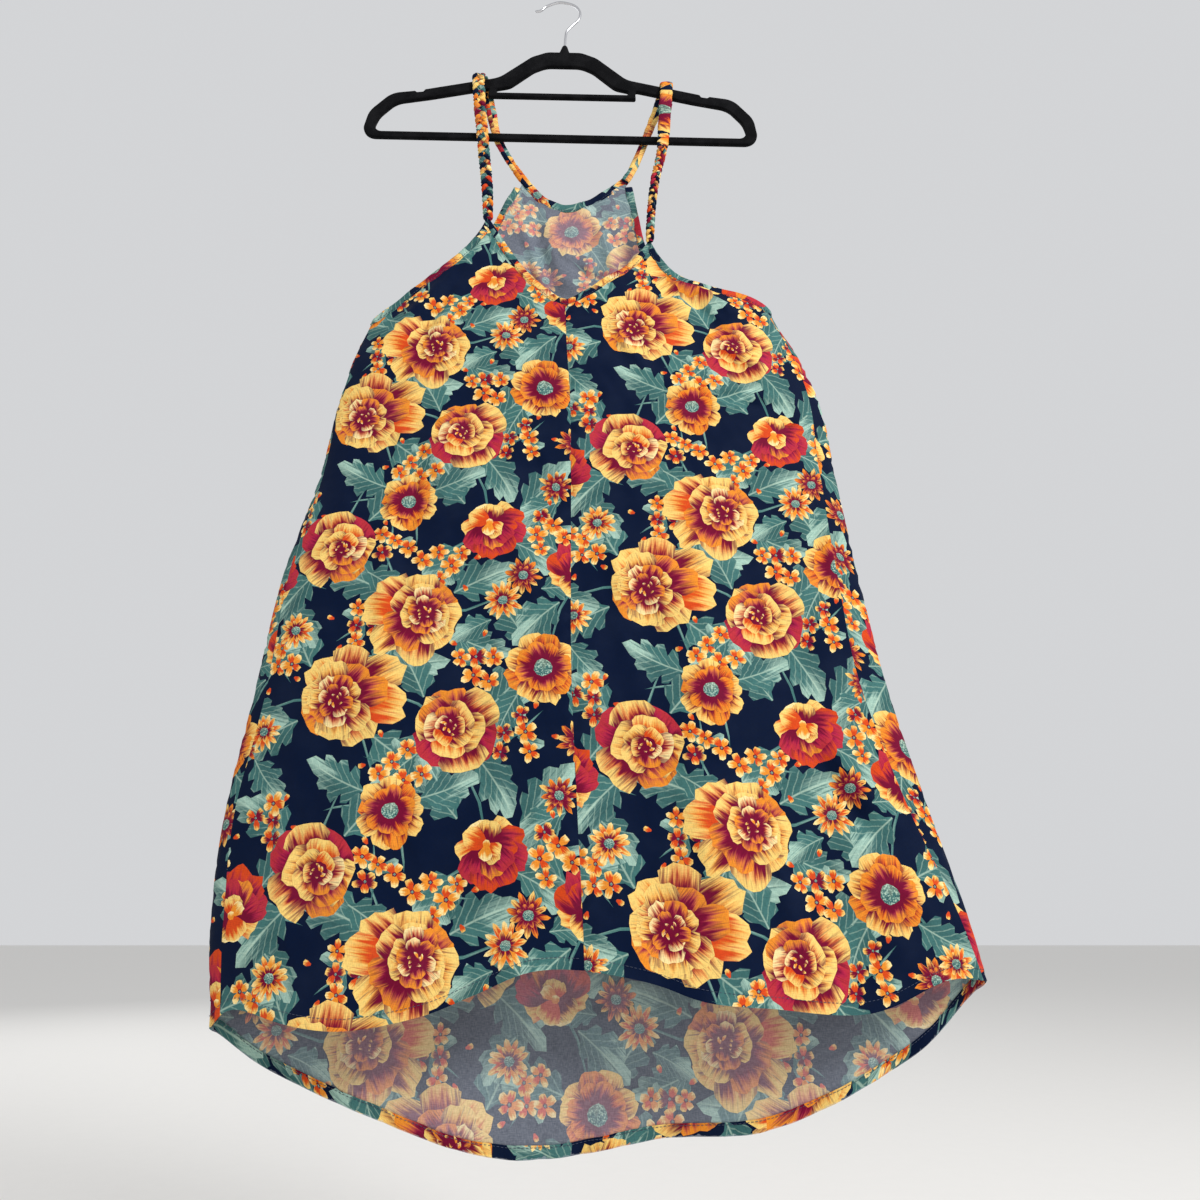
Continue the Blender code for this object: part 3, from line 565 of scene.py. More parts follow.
class HalfPanel:
    """Half of the front or the back, from its middle (share 0) to the side seam (share 1)."""

    def __init__(self, face, side, neck, armhole, hem):
        self.face = face
        self.side = side
        self.neck = self.boundary(*neck)
        self.armhole = self.boundary(*armhole)
        self.hem = self.boundary(*hem)

    def boundary(self, turn, level):
        """Edge places on this half as shares and levels, in order."""
        seam = seam_turn(self.side, level)
        if self.face == "front":
            share = np.abs(turn) / seam
        else:
            share = (2 - np.abs(turn)) / (2 - seam)
        keep = (turn * self.side >= 0) & (share < SHARE_LIMIT)
        order = np.argsort(share[keep])
        shares = share[keep][order]
        levels = level[keep][order]
        first = levels[0] - (levels[1] - levels[0]) * shares[0] / max(shares[1] - shares[0], 1e-6)
        if shares[0] < 0.1:
            shares = np.concatenate([[0.0], shares])
            levels = np.concatenate([[first], levels])
        slope = (levels[-1] - levels[-2]) / max(shares[-1] - shares[-2], 1e-6)
        low_slope = (levels[1] - levels[0]) / max(shares[1] - shares[0], 1e-6)
        shares = np.concatenate([[shares[0] - 0.1], shares, [shares[-1] + 0.1]])
        before, after = levels[0] - 0.1 * low_slope, levels[-1] + 0.1 * slope
        levels = np.concatenate([[before], levels, [after]])
        return shares, levels

    def peak(self):
        """The share at which the neck's edge meets the armhole's."""
        low = self.armhole[0][0]
        high = self.neck[0][-1]
        for _ in range(40):
            middle = (low + high) / 2
            if np.interp(middle, *self.neck) < np.interp(middle, *self.armhole):
                low = middle
            else:
                high = middle
        return low

    def places(self, shares, levels):
        seam = seam_turn(self.side, levels)
        if self.face == "front":
            return self.side * seam * shares, levels
        return self.side * (2 - (2 - seam) * shares), levels

    def outline(self):
        """The cut edge from the top of the middle, over the side, to the foot of the middle."""
        peak = self.peak()
        neck = self.neck[0][(self.neck[0] > 0) & (self.neck[0] < peak)]
        armhole = self.armhole[0][(self.armhole[0] > peak) & (self.armhole[0] < 1)]
        top = np.concatenate([[0.0], neck, [peak], armhole, [1.0]])
        over = top < peak + 1e-9
        top_levels = np.where(over, np.interp(top, *self.neck), np.interp(top, *self.armhole))
        foot = np.linspace(1, 0, HEM_POINTS)
        foot_levels = np.interp(foot, *self.hem)
        side_levels = np.linspace(top_levels[-1], foot_levels[0], SIDE_POINTS)[1:-1]
        shares = np.concatenate([top, np.ones(len(side_levels)), foot])
        levels = np.concatenate([top_levels, side_levels, foot_levels])
        return self.places(shares, levels)


def joined_hem():
    front = spread_edge(FRONT_HEM)
    back = spread_edge(BACK_HEM)
    return tuple(np.concatenate(pair) for pair in zip(front, back))


def panel_cut(face, cut, sides):
    """The outline of a panel on its flat cut, counter-clockwise, and its hem alone."""
    inset = BINDING_WIDTH - EDGE_HIDDEN
    neck_rows, neck_way = (NECK_EDGE, -1) if face == "front" else (BACK_NECK_EDGE, 1)
    neck = inner_edge(neck_rows, neck_way, inset)
    hem = spread_edge(FRONT_HEM if face == "front" else BACK_HEM)
    whole_hem = joined_hem()
    rims = []
    for side in sides:
        rows, way = (ARMHOLE_RIGHT, -1) if side > 0 else (ARMHOLE_LEFT, 1)
        half = HalfPanel(face, side, neck, inner_edge(rows, way, inset), whole_hem)
        rims.append(cut.to_flat(*half.outline()))
    if len(sides) == 2:
        outline = np.concatenate([rims[0], rims[1][::-1]])
    else:
        foot, top = rims[0][-1], rims[0][0]
        middle = np.linspace(foot, top, SIDE_POINTS)[1:-1]
        outline = np.concatenate([rims[0], middle])
    keep = np.linalg.norm(outline - np.roll(outline, 1, axis=0), axis=1) > 0.4
    outline = outline[keep]
    if flat_area(outline) < 0:
        outline = outline[::-1]
    return outline, cut.to_flat(*hem)


def flat_area(outline):
    """The area inside an outline, below zero when it runs clockwise."""
    x, y = outline.T
    return 0.5 * float((x * np.roll(y, -1) - y * np.roll(x, -1)).sum())


# --- The print ------------------------------------------------------------------------------

# A shape of the print: its outline, the frame that its shading runs in, and its three colours.
Shape = namedtuple("Shape", "outline base angle length half_width bend veins seed colours")


def hue(red, green, blue):
    """A screen colour as the linear one that shaders take."""
    return tuple(
        (part / 255 / 12.92) if part <= 10 else ((part / 255 + 0.055) / 1.055) ** 2.4
        for part in (red, green, blue)
    )


class Drawing:
    """The shapes of one repeat of the print, from back to front, in millimetres."""

    def __init__(self, seed):
        self.shapes = []
        self.random = random.Random(seed)
        dyes = colours()
        wine, magenta, ember, orange, yellow, cream, dark, light, eye = (
            tuple(getattr(dyes, name)) for name in (
                "wine", "magenta", "ember", "orange", "yellow", "cream", "leaf_dark", "leaf_light",
                "eye"
            )
        )
        glow = tuple(0.6 * cool + 0.4 * warm for cool, warm in zip(magenta, ember))
        self.dyes = {
            "gold": (ember, orange, yellow), "bright": (orange, yellow, cream),
            "flame": (wine, orange, yellow), "blaze": (wine, ember, yellow),
            "ember": (wine, ember, orange), "wine": (wine, magenta, ember),
            "velvet": (wine, magenta, glow), "blush": (wine, ember, cream),
            "throat": (wine, magenta, orange), "leaf": (dark, light, light),
            "stem": (dark, light, dark), "eye": (dark, eye, eye), "ring": (wine, wine, wine)
        }

    def petal(self, x, y, angle, length, half_width, dye, profile=BROAD, **more):
        """One petal or leaf from its base, its rim a little uneven."""
        ruffle = more.get("ruffle", 0.07)
        notch = more.get("notch", 0.04)
        bend = more.get("bend", 0.0)
        draw = self.random
        rim = [(a, w * (1 + draw.uniform(-ruffle, ruffle))) for a, w in profile]
        rim.append((1.0 + draw.uniform(-notch, notch) if notch else 1.0, 0.0))
        rim += [(a, -w * (1 + draw.uniform(-ruffle, ruffle))) for a, w in profile[::-1]]
        turn = math.radians(angle)
        cos, sin = math.cos(turn), math.sin(turn)
        outline = []
        for along, share in rim:
            u = along * length * (1 + (draw.uniform(-ruffle, ruffle) * 0.5 if along > 0.6 else 0))
            v = share * half_width + bend * length * along**2
            outline.append((x + u * cos - v * sin, y + u * sin + v * cos))
        self.shapes.append(
            Shape(
                np.array(outline), (x, y), turn, length, half_width, bend, more.get("veins", 0.0),
                draw.uniform(0, 60), self.dyes[dye]
            )
        )

    def disc(self, x, y, radius, dye, points=9):
        """A flower's eye: shaded from its middle outward."""
        angles = np.linspace(0, 2 * math.pi, points, endpoint=False)
        reach = np.array([radius * self.random.uniform(0.9, 1.08) for _ in angles])
        outline = np.stack([x + reach * np.cos(angles), y + reach * np.sin(angles)], axis=1)
        low = (x, y - radius)
        self.shapes.append(
            Shape(
                outline, low, math.pi / 2, 2 * radius, radius, 0, -1 if dye == "eye" else 0, x,
                self.dyes[dye]
            )
        )

    def ring(self, x, y, count, start, reach, length, half_width, dyes, **more):
        """A ring of petals round a middle, each a little out of turn, every other one beneath."""
        draw = self.random
        squash = more.pop("squash", 1.0)
        lean = math.radians(more.pop("lean", 0.0))
        order = list(range(0, count, 2)) + list(range(1, count, 2))
        for index in order:
            angle = start + 360 * (index + draw.uniform(-0.16, 0.16)) / count
            turn = math.radians(angle)
            scale = 1 + (1 - squash) * math.cos(turn - lean)
            grown = draw.uniform(0.88, 1.1) * scale
            self.petal(
                x + reach * math.cos(turn), y + reach * math.sin(turn), angle,
                (length - reach) * grown, half_width * draw.uniform(0.88, 1.12),
                dyes[index % len(dyes)], bend=draw.uniform(-0.08, 0.08), **more
            )

    def heart(self, x, y, radius, turn, count):
        """The small curled petals in the middle of a full flower."""
        draw = self.random
        self.disc(x, y, radius * 1.05, "ring")
        for index in range(count):
            angle = turn + 137.5 * index
            reach = radius * (1.1 - index / count)
            way = math.radians(angle)
            self.petal(
                x + reach * 0.55 * math.cos(way), y + reach * 0.55 * math.sin(way),
                angle + draw.uniform(30, 80), radius * draw.uniform(0.5, 0.75), radius * 0.17,
                ("blush", "bright", "flame")[index % 3], SLIM, bend=0.3, notch=0
            )

    def peony(self, x, y, radius, turn):
        """A full, loose flower that leans: long ruffled petals round a cup of shorter ones."""
        way = math.radians(turn)
        dx, dy = radius * math.cos(way), radius * math.sin(way)
        for back, count, start, reach, length, width, dyes, ruffle, squash in (
            (0, 8, 12, 0.12, 1, 0.36, ("flame", "blaze", "gold", "flame", "throat"), 0.13, 0.74),
            (0.06, 7, 40, 0.1, 0.74, 0.3, ("throat", "flame", "blaze"), 0.1, 0.74),
            (0.12, 7, 0, 0.08, 0.52, 0.2, ("flame", "throat", "blush"), 0.1, 1.0),
            (0.12, 6, 25, 0.05, 0.36, 0.13, ("blush", "throat"), 0.1, 1.0)
        ):
            self.ring(
                x - back * dx, y - back * dy, count, turn + start, reach * radius,
                length * radius, width * radius, dyes, ruffle=ruffle, squash=squash, lean=turn
            )
        self.heart(x - 0.12 * dx, y - 0.12 * dy, 0.17 * radius, turn, 7)

    def rose(self, x, y, radius, turn):
        """A cupped flower: broad petals wrapped round a deep throat, wine outside."""
        way = math.radians(turn)
        self.ring(
            x, y, 6, turn, 0.15 * radius, radius, 0.5 * radius,
            ("velvet", "blaze", "throat", "flame"), ruffle=0.1, squash=0.82, lean=turn
        )
        cup_x, cup_y = x - 0.08 * radius * math.cos(way), y - 0.08 * radius * math.sin(way)
        for index in range(10):
            angle = turn + 137.5 * index
            reach = radius * (0.78 - 0.052 * index)
            dye = ("flame", "throat", "gold", "blaze", "blush")[index % 5]
            self.petal(
                cup_x, cup_y, angle, reach, 0.6 * reach, dye, CUPPED, ruffle=0.06, bend=0.12
            )
        self.heart(cup_x, cup_y, 0.2 * radius, turn, 8)

    def poppy(self, x, y, radius, turn):
        """An open flower: wine-streaked petals round a grey-green eye."""
        self.ring(
            x, y, 9, turn, 0.15 * radius, radius, 0.34 * radius, ("flame", "ember", "flame"),
            ruffle=0.12
        )
        self.ring(
            x, y, 8, turn + 20, 0.1 * radius, 0.72 * radius, 0.24 * radius, ("ember", "throat")
        )
        self.ring(
            x, y, 9, turn, 0.1 * radius, 0.42 * radius, 0.07 * radius, ("ring",), profile=SLIM
        )
        self.disc(x, y, 0.25 * radius, "eye", 11)

    def pansy(self, x, y, radius, turn):
        """A flower seen from the side: a fan of wine petals over a few yellow ones."""
        for angle, reach, width, dye in (
            (-95, 0.8, 0.34, "gold"), (95, 0.8, 0.34, "gold"), (-62, 1.0, 0.36, "velvet"),
            (62, 1.0, 0.36, "wine"), (-32, 1.12, 0.36, "wine"), (32, 1.12, 0.36, "velvet"),
            (0, 1.15, 0.38, "wine"), (-48, 0.78, 0.28, "velvet"), (46, 0.78, 0.28, "wine"),
            (-16, 0.84, 0.3, "throat"), (16, 0.8, 0.28, "velvet"), (180, 0.62, 0.34, "bright"),
            (142, 0.6, 0.3, "flame"), (218, 0.6, 0.3, "gold"), (-5, 0.5, 0.2, "flame"),
            (30, 0.42, 0.16, "gold"), (-38, 0.42, 0.16, "bright")
        ):
            self.petal(
                x, y, turn + angle, reach * radius * 0.9, width * radius, dye, ruffle=0.14,
                notch=0.08
            )
        self.disc(x, y, 0.1 * radius, "bright", 7)

    def small(self, x, y, radius, turn, count, width, outer, inner, inner_reach, eye):
        """An open flower of slim petals, in two rings round its eye."""
        self.ring(x, y, count, turn, 1.5, radius, width * radius, outer, profile=SLIM, ruffle=0.1)
        reach = inner_reach * radius
        self.ring(x, y, 8, turn + 14, 1, reach, 0.12 * radius, (inner,), profile=SLIM)
        self.disc(x, y, eye * radius, "eye", 8)

    def daisy(self, *place):
        self.small(*place, 13, 0.15, ("gold", "bright"), "flame", 0.62, 0.24)

    def ember(self, *place):
        self.small(*place, 12, 0.16, ("ember", "flame"), "throat", 0.6, 0.26)

    def blossom(self, x, y, radius, turn):
        dyes = ("bright", "gold", "bright") if self.random.random() < 0.7 else ("flame", "gold")
        self.ring(
            x, y, 5, turn, 0.8, radius, 0.34 * radius, dyes, profile=ROUND, ruffle=0.08, notch=0.1
        )
        self.disc(x, y, 0.22 * radius, "ring", 5)
        self.disc(x, y, 0.13 * radius, "eye", 4)

    def spray(self, row):
        """A few small flowers and buds on one thin, curling stem."""
        draw = self.random
        turn = math.radians(row.turn)
        self.petal(
            row.x - row.spread * math.cos(turn), row.y - row.spread * math.sin(turn), row.turn,
            2.2 * row.spread, 1.1, "stem", SLIM, bend=0.16, notch=0
        )
        for side in (-1, 1):
            self.petal(
                row.x, row.y, row.turn + side * 62, row.spread * 0.95, 0.22 * row.spread, "leaf",
                ROUND, bend=-0.2 * side, veins=0.6
            )
        for index in range(row.count):
            angle = turn + 2.4 * index
            reach = row.spread * (0.1 + 0.8 * math.sqrt((index + 0.3) / row.count))
            x = row.x + reach * math.cos(angle)
            y = row.y + reach * math.sin(angle)
            self.blossom(x, y, draw.uniform(8.2, 10.6), draw.uniform(0, 72))
        for side in (-1, 1):
            bud = turn + side * 0.5
            self.petal(
                row.x + 1.15 * row.spread * math.cos(bud),
                row.y + 1.15 * row.spread * math.sin(bud), row.turn + 40 * side, 6.5, 2.3, "gold",
                ROUND
            )

    def leaf(self, row):
        """A lobed leaf, whose finish gives it pale veins and one shaded half."""
        self.petal(
            row.x, row.y, row.angle, 1.2 * row.length, 1.3 * row.half_width, "leaf", LOBED,
            bend=row.bend, veins=1.0, ruffle=0.12, notch=0.02
        )

    def tendril(self, x, y, angle, length, bend):
        self.petal(x, y, angle, length, 1.3, "stem", SLIM, bend=bend, notch=0, ruffle=0)

    def draw_repeat(self):
        for row in FLOWERS:
            if row.radius > 24:
                self.tendril(row.x, row.y, row.turn + 150, 1.9 * row.radius, 0.35)
                self.tendril(row.x, row.y, row.turn - 70, 1.7 * row.radius, -0.3)
        for row in LEAVES:
            self.leaf(row)
        for row in SPRAYS:
            self.spray(row)
        for row in FLOWERS:
            getattr(self, row.kind)(row.x, row.y, row.radius, row.turn)
        return self.shapes


def print_on(outline, repeat, offset, angle):
    """The shapes that fall on a flat cut, laid there from a repeat turned and moved."""
    turn = math.radians(angle)
    cos, sin = math.cos(turn), math.sin(turn)
    spin = np.array([[cos, sin], [-sin, cos]])
    low = outline.min(axis=0)
    high = outline.max(axis=0)
    corners = np.array([(x, y) for x in (low[0], high[0]) for y in (low[1], high[1])])
    unturned = (corners - offset) @ spin.T
    first = np.floor(unturned.min(axis=0) / (TILE_WIDTH, TILE_HEIGHT)).astype(int) - 1
    last = np.ceil(unturned.max(axis=0) / (TILE_WIDTH, TILE_HEIGHT)).astype(int) + 1
    laid = []
    spots = [
        np.array((column * TILE_WIDTH, row * TILE_HEIGHT))
        for row in range(first[1], last[1])
        for column in range(first[0], last[0])
    ]
    # Each shape is laid in every repeat before the next, so that a border overlaps one way.
    for shape in repeat:
        for spot in spots:
            moved = (shape.outline + spot) @ spin + offset
            if (moved.max(axis=0) < low).any() or (moved.min(axis=0) > high).any():
                continue
            base = (np.array(shape.base) + spot) @ spin + offset
            laid.append(shape._replace(outline=moved, base=base, angle=shape.angle + turn))
    return laid


def inside(outline, points):
    """Which points lie in a closed outline."""
    x, y = points.T
    found = np.zeros(len(points), bool)
    after = np.roll(outline, -1, axis=0)
    for (x0, y0), (x1, y1) in zip(outline, after):
        if y0 == y1:
            continue
        crosses = (y0 > y) != (y1 > y)
        found ^= crosses & (x < (x1 - x0) * (y - y0) / (y1 - y0) + x0)
    return found


def spaced(outline, step):
    """An outline with no side longer than a step."""
    points = []
    for start, end in zip(outline, np.roll(outline, -1, axis=0)):
        parts = max(math.ceil(np.linalg.norm(end - start) / step), 1)
        points += [start + (end - start) * part / parts for part in range(parts)]
    return np.array(points)


def seen_edges(shapes, low, high):
    """The parts of the shapes' outlines that no later shape covers, as pairs of points."""
    starts, ends, owners, ranks = [], [], [], []
    for number, shape in enumerate(shapes):
        after = np.roll(shape.outline, -1, axis=0)
        for start, end in zip(shape.outline, after):
            outside = (np.maximum(start, end) < low).any() or (np.minimum(start, end) > high).any()
            if outside:
                continue
            parts = max(math.ceil(math.dist(start, end) / SEEN_STEP), 1)
            shares = np.linspace(0, 1, parts + 1)[:, None]
            spots = start + (end - start) * shares
            starts.append(spots[:-1])
            ends.append(spots[1:])
            owners += [number] * parts
            ranks += list(range(parts))
    if not starts:
        return np.zeros((0, 2, 2))
    starts = np.concatenate(starts)
    ends = np.concatenate(ends)
    owners = np.array(owners)
    ranks = np.array(ranks)
    seen = (tops_of(starts, shapes) <= owners) | (tops_of(ends, shapes) <= owners)
    joins = np.zeros(len(seen), bool)
    joins[1:] = seen[1:] & seen[:-1] & (ranks[1:] > 0)
    heads = np.flatnonzero(seen & ~joins)
    tails = np.flatnonzero(seen & ~np.append(joins[1:], False))
    return np.stack([starts[heads], ends[tails]], axis=1)


def cut_flat(outline, shapes, step_across, step_along):
    """Triangles of a flat piece whose edges follow the print: points, triangles, tops.

    A top is the number of the shape that shows on a triangle, or -1 for the ground.
    """
    outline = spaced(outline, max(step_across, step_along))
    low = outline.min(axis=0)
    high = outline.max(axis=0)
    drawn = seen_edges(shapes, low, high)
    across, along = np.meshgrid(
        np.arange(low[0] + step_across / 2, high[0], step_across),
        np.arange(low[1] + step_along / 2, high[1], step_along)
    )
    across[::2] += step_across * 0.25
    across[1::2] -= step_across * 0.25
    grid = np.stack([across.ravel(), along.ravel()], axis=1)
    grid = grid[inside(outline, grid)]
    count = len(outline)
    edges = [(index, (index + 1) % count) for index in range(count)]
    edges += [(count + 2 * index, count + 2 * index + 1) for index in range(len(drawn))]
    points = np.concatenate([outline, drawn.reshape(-1, 2), grid])
    points = [Vector(point) for point in points.tolist()]
    final, _, triangles, _, _, _ = delaunay_2d_cdt(points, edges, [], 0, 0.02, False)
    final = np.array(final)
    triangles = np.array(triangles)
    middles = final[triangles].mean(axis=1)
    keep = inside(outline, middles) & (flat_sizes(final, triangles) > 1e-5)
    triangles = triangles[keep]
    tops = tops_of(middles[keep], shapes)
    used = np.unique(triangles)
    number = np.zeros(len(final), int)
    number[used] = np.arange(len(used))
    return final[used], number[triangles], tops


def flat_sizes(points, triangles):
    a, b, c = (points[triangles[:, index]] for index in range(3))
    ab, ac = b - a, c - a
    return 0.5 * (ab[:, 0] * ac[:, 1] - ab[:, 1] * ac[:, 0])


def tops_of(middles, shapes):
    """Which shape shows at each point."""
    order = np.argsort(middles[:, 0])
    along = middles[order]
    tops = np.full(len(middles), -1)
    for number, shape in enumerate(shapes):
        low = shape.outline.min(axis=0)
        high = shape.outline.max(axis=0)
        first, last = np.searchsorted(along[:, 0], (low[0], high[0]))
        near = order[first:last]
        height = middles[near, 1]
        near = near[(height > low[1]) & (height < high[1])]
        if len(near):
            tops[near[inside(shape.outline, middles[near])]] = number
    return tops


# --- Cloth meshes ---------------------------------------------------------------------------


class Cloth:
    """Gathers the faces of one piece, each with the print that it carries.

    A corner's row holds its place on the petal, the petal's seed, the veins, three colours and
    its place on the map.
    """

    VEINS = 3
    DYES = 4
    MAP = 13
    WIDTH = 15

    def __init__(self):
        self.points = []
        self.faces = []
        self.normals = []
        self.corners = []
        self.sides = []
        self.cuts = []
        self.count = 0

    def add(self, flat, triangles, tops, shapes, place, turned=False, side=0, map_part=(0, 1)):
        """Lays flat triangles on a surface, in one part of the map.

        turned faces them the other way, and side is the number of their finish.
        """
        points, normals = place(flat)
        if turned:
            triangles = triangles[:, ::-1]
            normals = -normals
        corners = flat[triangles]
        ground = tuple(colours().ground)
        rows = [(0, 0, 0, 100, 100, 0, 0, 0, *ground * 3)]
        rows += [
            (
                *shape.base, shape.angle, shape.length, shape.half_width, shape.bend, shape.veins,
                shape.seed, *(part for colour in shape.colours for part in colour)
            )
            for shape in shapes
        ]
        rows = np.array(rows, float)[tops + 1]
        off = corners - rows[:, None, 0:2]
        cos = np.cos(rows[:, 2])[:, None]
        sin = np.sin(rows[:, 2])[:, None]
        length, half_width, bend = (rows[:, index, None] for index in (3, 4, 5))
        along = (off[..., 0] * cos + off[..., 1] * sin) / length
        aside = -off[..., 0] * sin + off[..., 1] * cos
        aside = (aside - (bend * length) * along**2) / half_width
        low = flat.min(axis=0)
        span = max(flat.max(axis=0) - low)
        start, width = map_part
        spread = (corners - low) / span * (width * 0.96)
        spread[..., 0] += start + width * 0.02
        made = np.empty((len(triangles), 3, self.WIDTH))
        made[..., 0] = along
        made[..., 1] = aside
        made[..., 2] = rows[:, 7, None]
        made[..., self.VEINS] = rows[:, 6, None]
        made[..., self.DYES : self.MAP] = rows[:, None, 8:]
        made[..., self.MAP :] = spread
        self.corners.append(made)
        self.sides.append(np.full(len(triangles), side))
        self.faces.append(triangles + self.count)
        self.normals.append(normals[triangles].reshape(-1, 3))
        self.points.append(points)
        self.cuts.append(flat)
        self.count += len(points)

    def two_faced(self, flat, triangles, tops, shapes, place, thickness):
        """A thin wall: its right side out, its wrong side in, and the turned edge between."""
        self.add(flat, triangles, tops, shapes, place, map_part=(0, 0.5))

        def inner(spots):
            points, normals = place(spots)
            return points - normals * thickness, normals

        first = self.count
        self.add(flat, triangles, tops, shapes, inner, turned=True, side=1, map_part=(0.5, 0.5))
        halves = np.concatenate([triangles[:, [0, 1]], triangles[:, [1, 2]], triangles[:, [2, 0]]])
        keys = np.sort(halves, axis=1)
        _, index, counts = np.unique(keys, axis=0, return_index=True, return_counts=True)
        rim = index[counts == 1]
        start, end = halves[rim].T
        base = 2 * first - self.count
        quads = np.stack([base + end, base + start, first + start, first + end], axis=1)
        both = np.concatenate([quads[:, [0, 1, 2]], quads[:, [0, 2, 3]]])
        a, b, c = (np.concatenate(self.points)[both[:, k]] for k in range(3))
        edge = self.corners[-2][rim % len(triangles)]
        edge[..., self.VEINS] = 0
        self.corners.append(np.concatenate([edge, edge]))
        self.sides.append(np.zeros(len(both), int))
        self.faces.append(both)
        self.normals.append(np.repeat(unit(np.cross(b - a, c - a)), 3, axis=0))

    def build(self, name, *finishes):
        """The piece, with what its finishes read kept on its mesh."""
        mesh = bpy.data.meshes.new(name)
        faces = np.concatenate(self.faces)
        mesh.from_pydata((np.concatenate(self.points) * MM).tolist(), [], faces.tolist())
        for finish_name in finishes:
            mesh.materials.append(finish(finish_name))
        mesh.polygons.foreach_set("material_index", np.concatenate(self.sides).astype(np.int32))
        corners = np.concatenate(self.corners).reshape(-1, self.WIDTH).astype(np.float32)
        rgba = np.ones((len(corners), 4), np.float32)
        for number, layer in enumerate(("throat", "body", "rim")):
            rgba[:, :3] = corners[:, self.DYES + 3 * number :][:, :3]
            made = mesh.color_attributes.new(layer, "BYTE_COLOR", "CORNER")
            made.data.foreach_set("color", rgba.ravel())
        cuts = np.concatenate(self.cuts)
        cuts = np.concatenate([cuts, np.zeros((len(cuts), 1))], axis=1) * MM
        for layer, kind, domain, key, values in (
            ("petal", "FLOAT_VECTOR", "CORNER", "vector", corners[:, : self.VEINS]),
            ("veins", "FLOAT", "CORNER", "value", corners[:, self.VEINS]),
            ("cut", "FLOAT_VECTOR", "POINT", "vector", cuts.astype(np.float32))
        ):
            made = mesh.attributes.new(layer, kind, domain)
            made.data.foreach_set(key, values.ravel())
        made = mesh.uv_layers.new(name="OFBake")
        made.uv.foreach_set("vector", corners[:, self.MAP :].ravel())
        mesh.shade_smooth()
        mesh.normals_split_custom_set(np.concatenate(self.normals).tolist())
        return linked(name, mesh)


def linked(name, data):
    """A new object in the scene."""
    made = bpy.data.objects.new(name, data)
    bpy.context.scene.collection.objects.link(made)
    return made


def hung(piece, *nodes, slot="printed_rayon"):
    """Makes a piece ride with the dress and stand for its solids."""
    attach(piece, "root")
    if nodes:
        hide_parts(*nodes)
    return piece


# --- Laying cloth on the dress ---------------------------------------------------------------


def with_normals(surface, flat, step):
    """A surface's points and outward normals, from its slopes both ways."""
    across = np.array((step, 0.0))
    along = np.array((0.0, step))
    run = surface(flat + across) - surface(flat - across)
    rise = surface(flat + along) - surface(flat - along)
    return surface(flat), unit(np.cross(run, rise))


def boxed(angle, cos_power, sin_power):
    """The cosine and sine of an oval that is squared, or rounded off, by the powers."""
    cos, sin = np.cos(angle), np.sin(angle)
    return np.sign(cos) * np.abs(cos) ** cos_power, np.sign(sin) * np.abs(sin) ** sin_power


class Laid:
    """A piece with a surface, and for a long one the rows of numbers along it."""

    SLOPE_STEP = 0.5

    def place(self, flat):
        return with_normals(self.surface, flat, self.SLOPE_STEP)

    def at(self, length):
        return rows_at(length, self.lengths, self.rows)


class Panel(Laid):
    """A panel's flat cut, its hem line and the way it lies on the body."""

    def __init__(self, face, sides):
        self.face = face
        self.cut = FlatCut(face)
        self.outline, hem = panel_cut(face, self.cut, sides)
        hem = hem[np.argsort(hem[:, 0])]
        self.hem = hem[np.concatenate([[True], np.diff(hem[:, 0]) > 0.2])]
        self.low = 0.0 if sides == (1,) else hem[0, 0]
        self.high = 0.0 if sides == (-1,) else hem[-1, 0]

    def above_hem(self, flat):
        return flat[:, 1] - np.interp(flat[:, 0], self.hem[:, 0], self.hem[:, 1])

    def surface(self, flat):
        turn = self.cut.to_ring(flat)
        points = ring_points(turn, flat[:, 1])
        fade = np.cos(ring_angle(turn))
        above = np.maximum(self.above_hem(flat), 0)
        x = flat[:, 0]
        # The hem waves: narrow puckers just above it, and a wider flare.
        rope = np.sin(x / 6.1 + 1.4 * np.sin(x / 31)) * np.exp(-(((above - 8) / 9) ** 2))
        flare = np.sin(x / 17.0 + 2.0 * np.sin(x / 53)) * np.exp(-above / 30)
        lift = sizes().hem_ripple / MM * (0.35 * rope + 1.0 * flare)
        # The middle seam lies a little deep, with puckers on both sides.
        if self.face == "front":
            lift -= 1.5 * np.exp(-((x / 2.2) ** 2))
            lift += 0.35 * np.sin(flat[:, 1] / 5.3) * np.exp(-((np.abs(x) - 4) ** 2) / 14)
        points[:, 1] += np.where(np.abs(turn) <= 1, -1.0, 1.0) * lift * fade
        return points

    def turned_up(self, flat):
        """The hem allowance, folded up on the inside, where its right side shows."""
        down = -self.above_hem(flat)
        up = flat.copy()
        up[:, 1] += 2 * down
        points, normals = self.place(up)
        reach = sizes().cloth / MM * 0.5 + 1.3 * np.sin(np.clip(down / 2, 0, 1) * math.pi / 2)
        puff = 0.35 * np.sin(flat[:, 0] / 5.0 + 2 * np.sin(flat[:, 0] / 21))
        reach = reach + puff * np.sin(math.pi * np.clip(down / 10, 0, 1))
        return points - normals * reach[:, None], -normals

    def allowance(self):
        """The flat band below the hem line that is turned up."""
        depth = sizes().hem_depth / MM
        spots = np.arange(self.low, self.high, 3.0)
        line = np.stack([spots, np.interp(spots, *self.hem.T)], axis=1)
        return np.concatenate([line - (0, depth), line[::-1] - (0, 0.05)])

    def stitch_line(self):
        """Where the hem is sewn, on the flat cut."""
        spots = np.arange(self.low + 2, self.high - 2, 1.0)
        level = np.interp(spots, *self.hem.T) + sizes().hem_depth / MM - HEM_SEWN
        return np.stack([spots, level], axis=1)


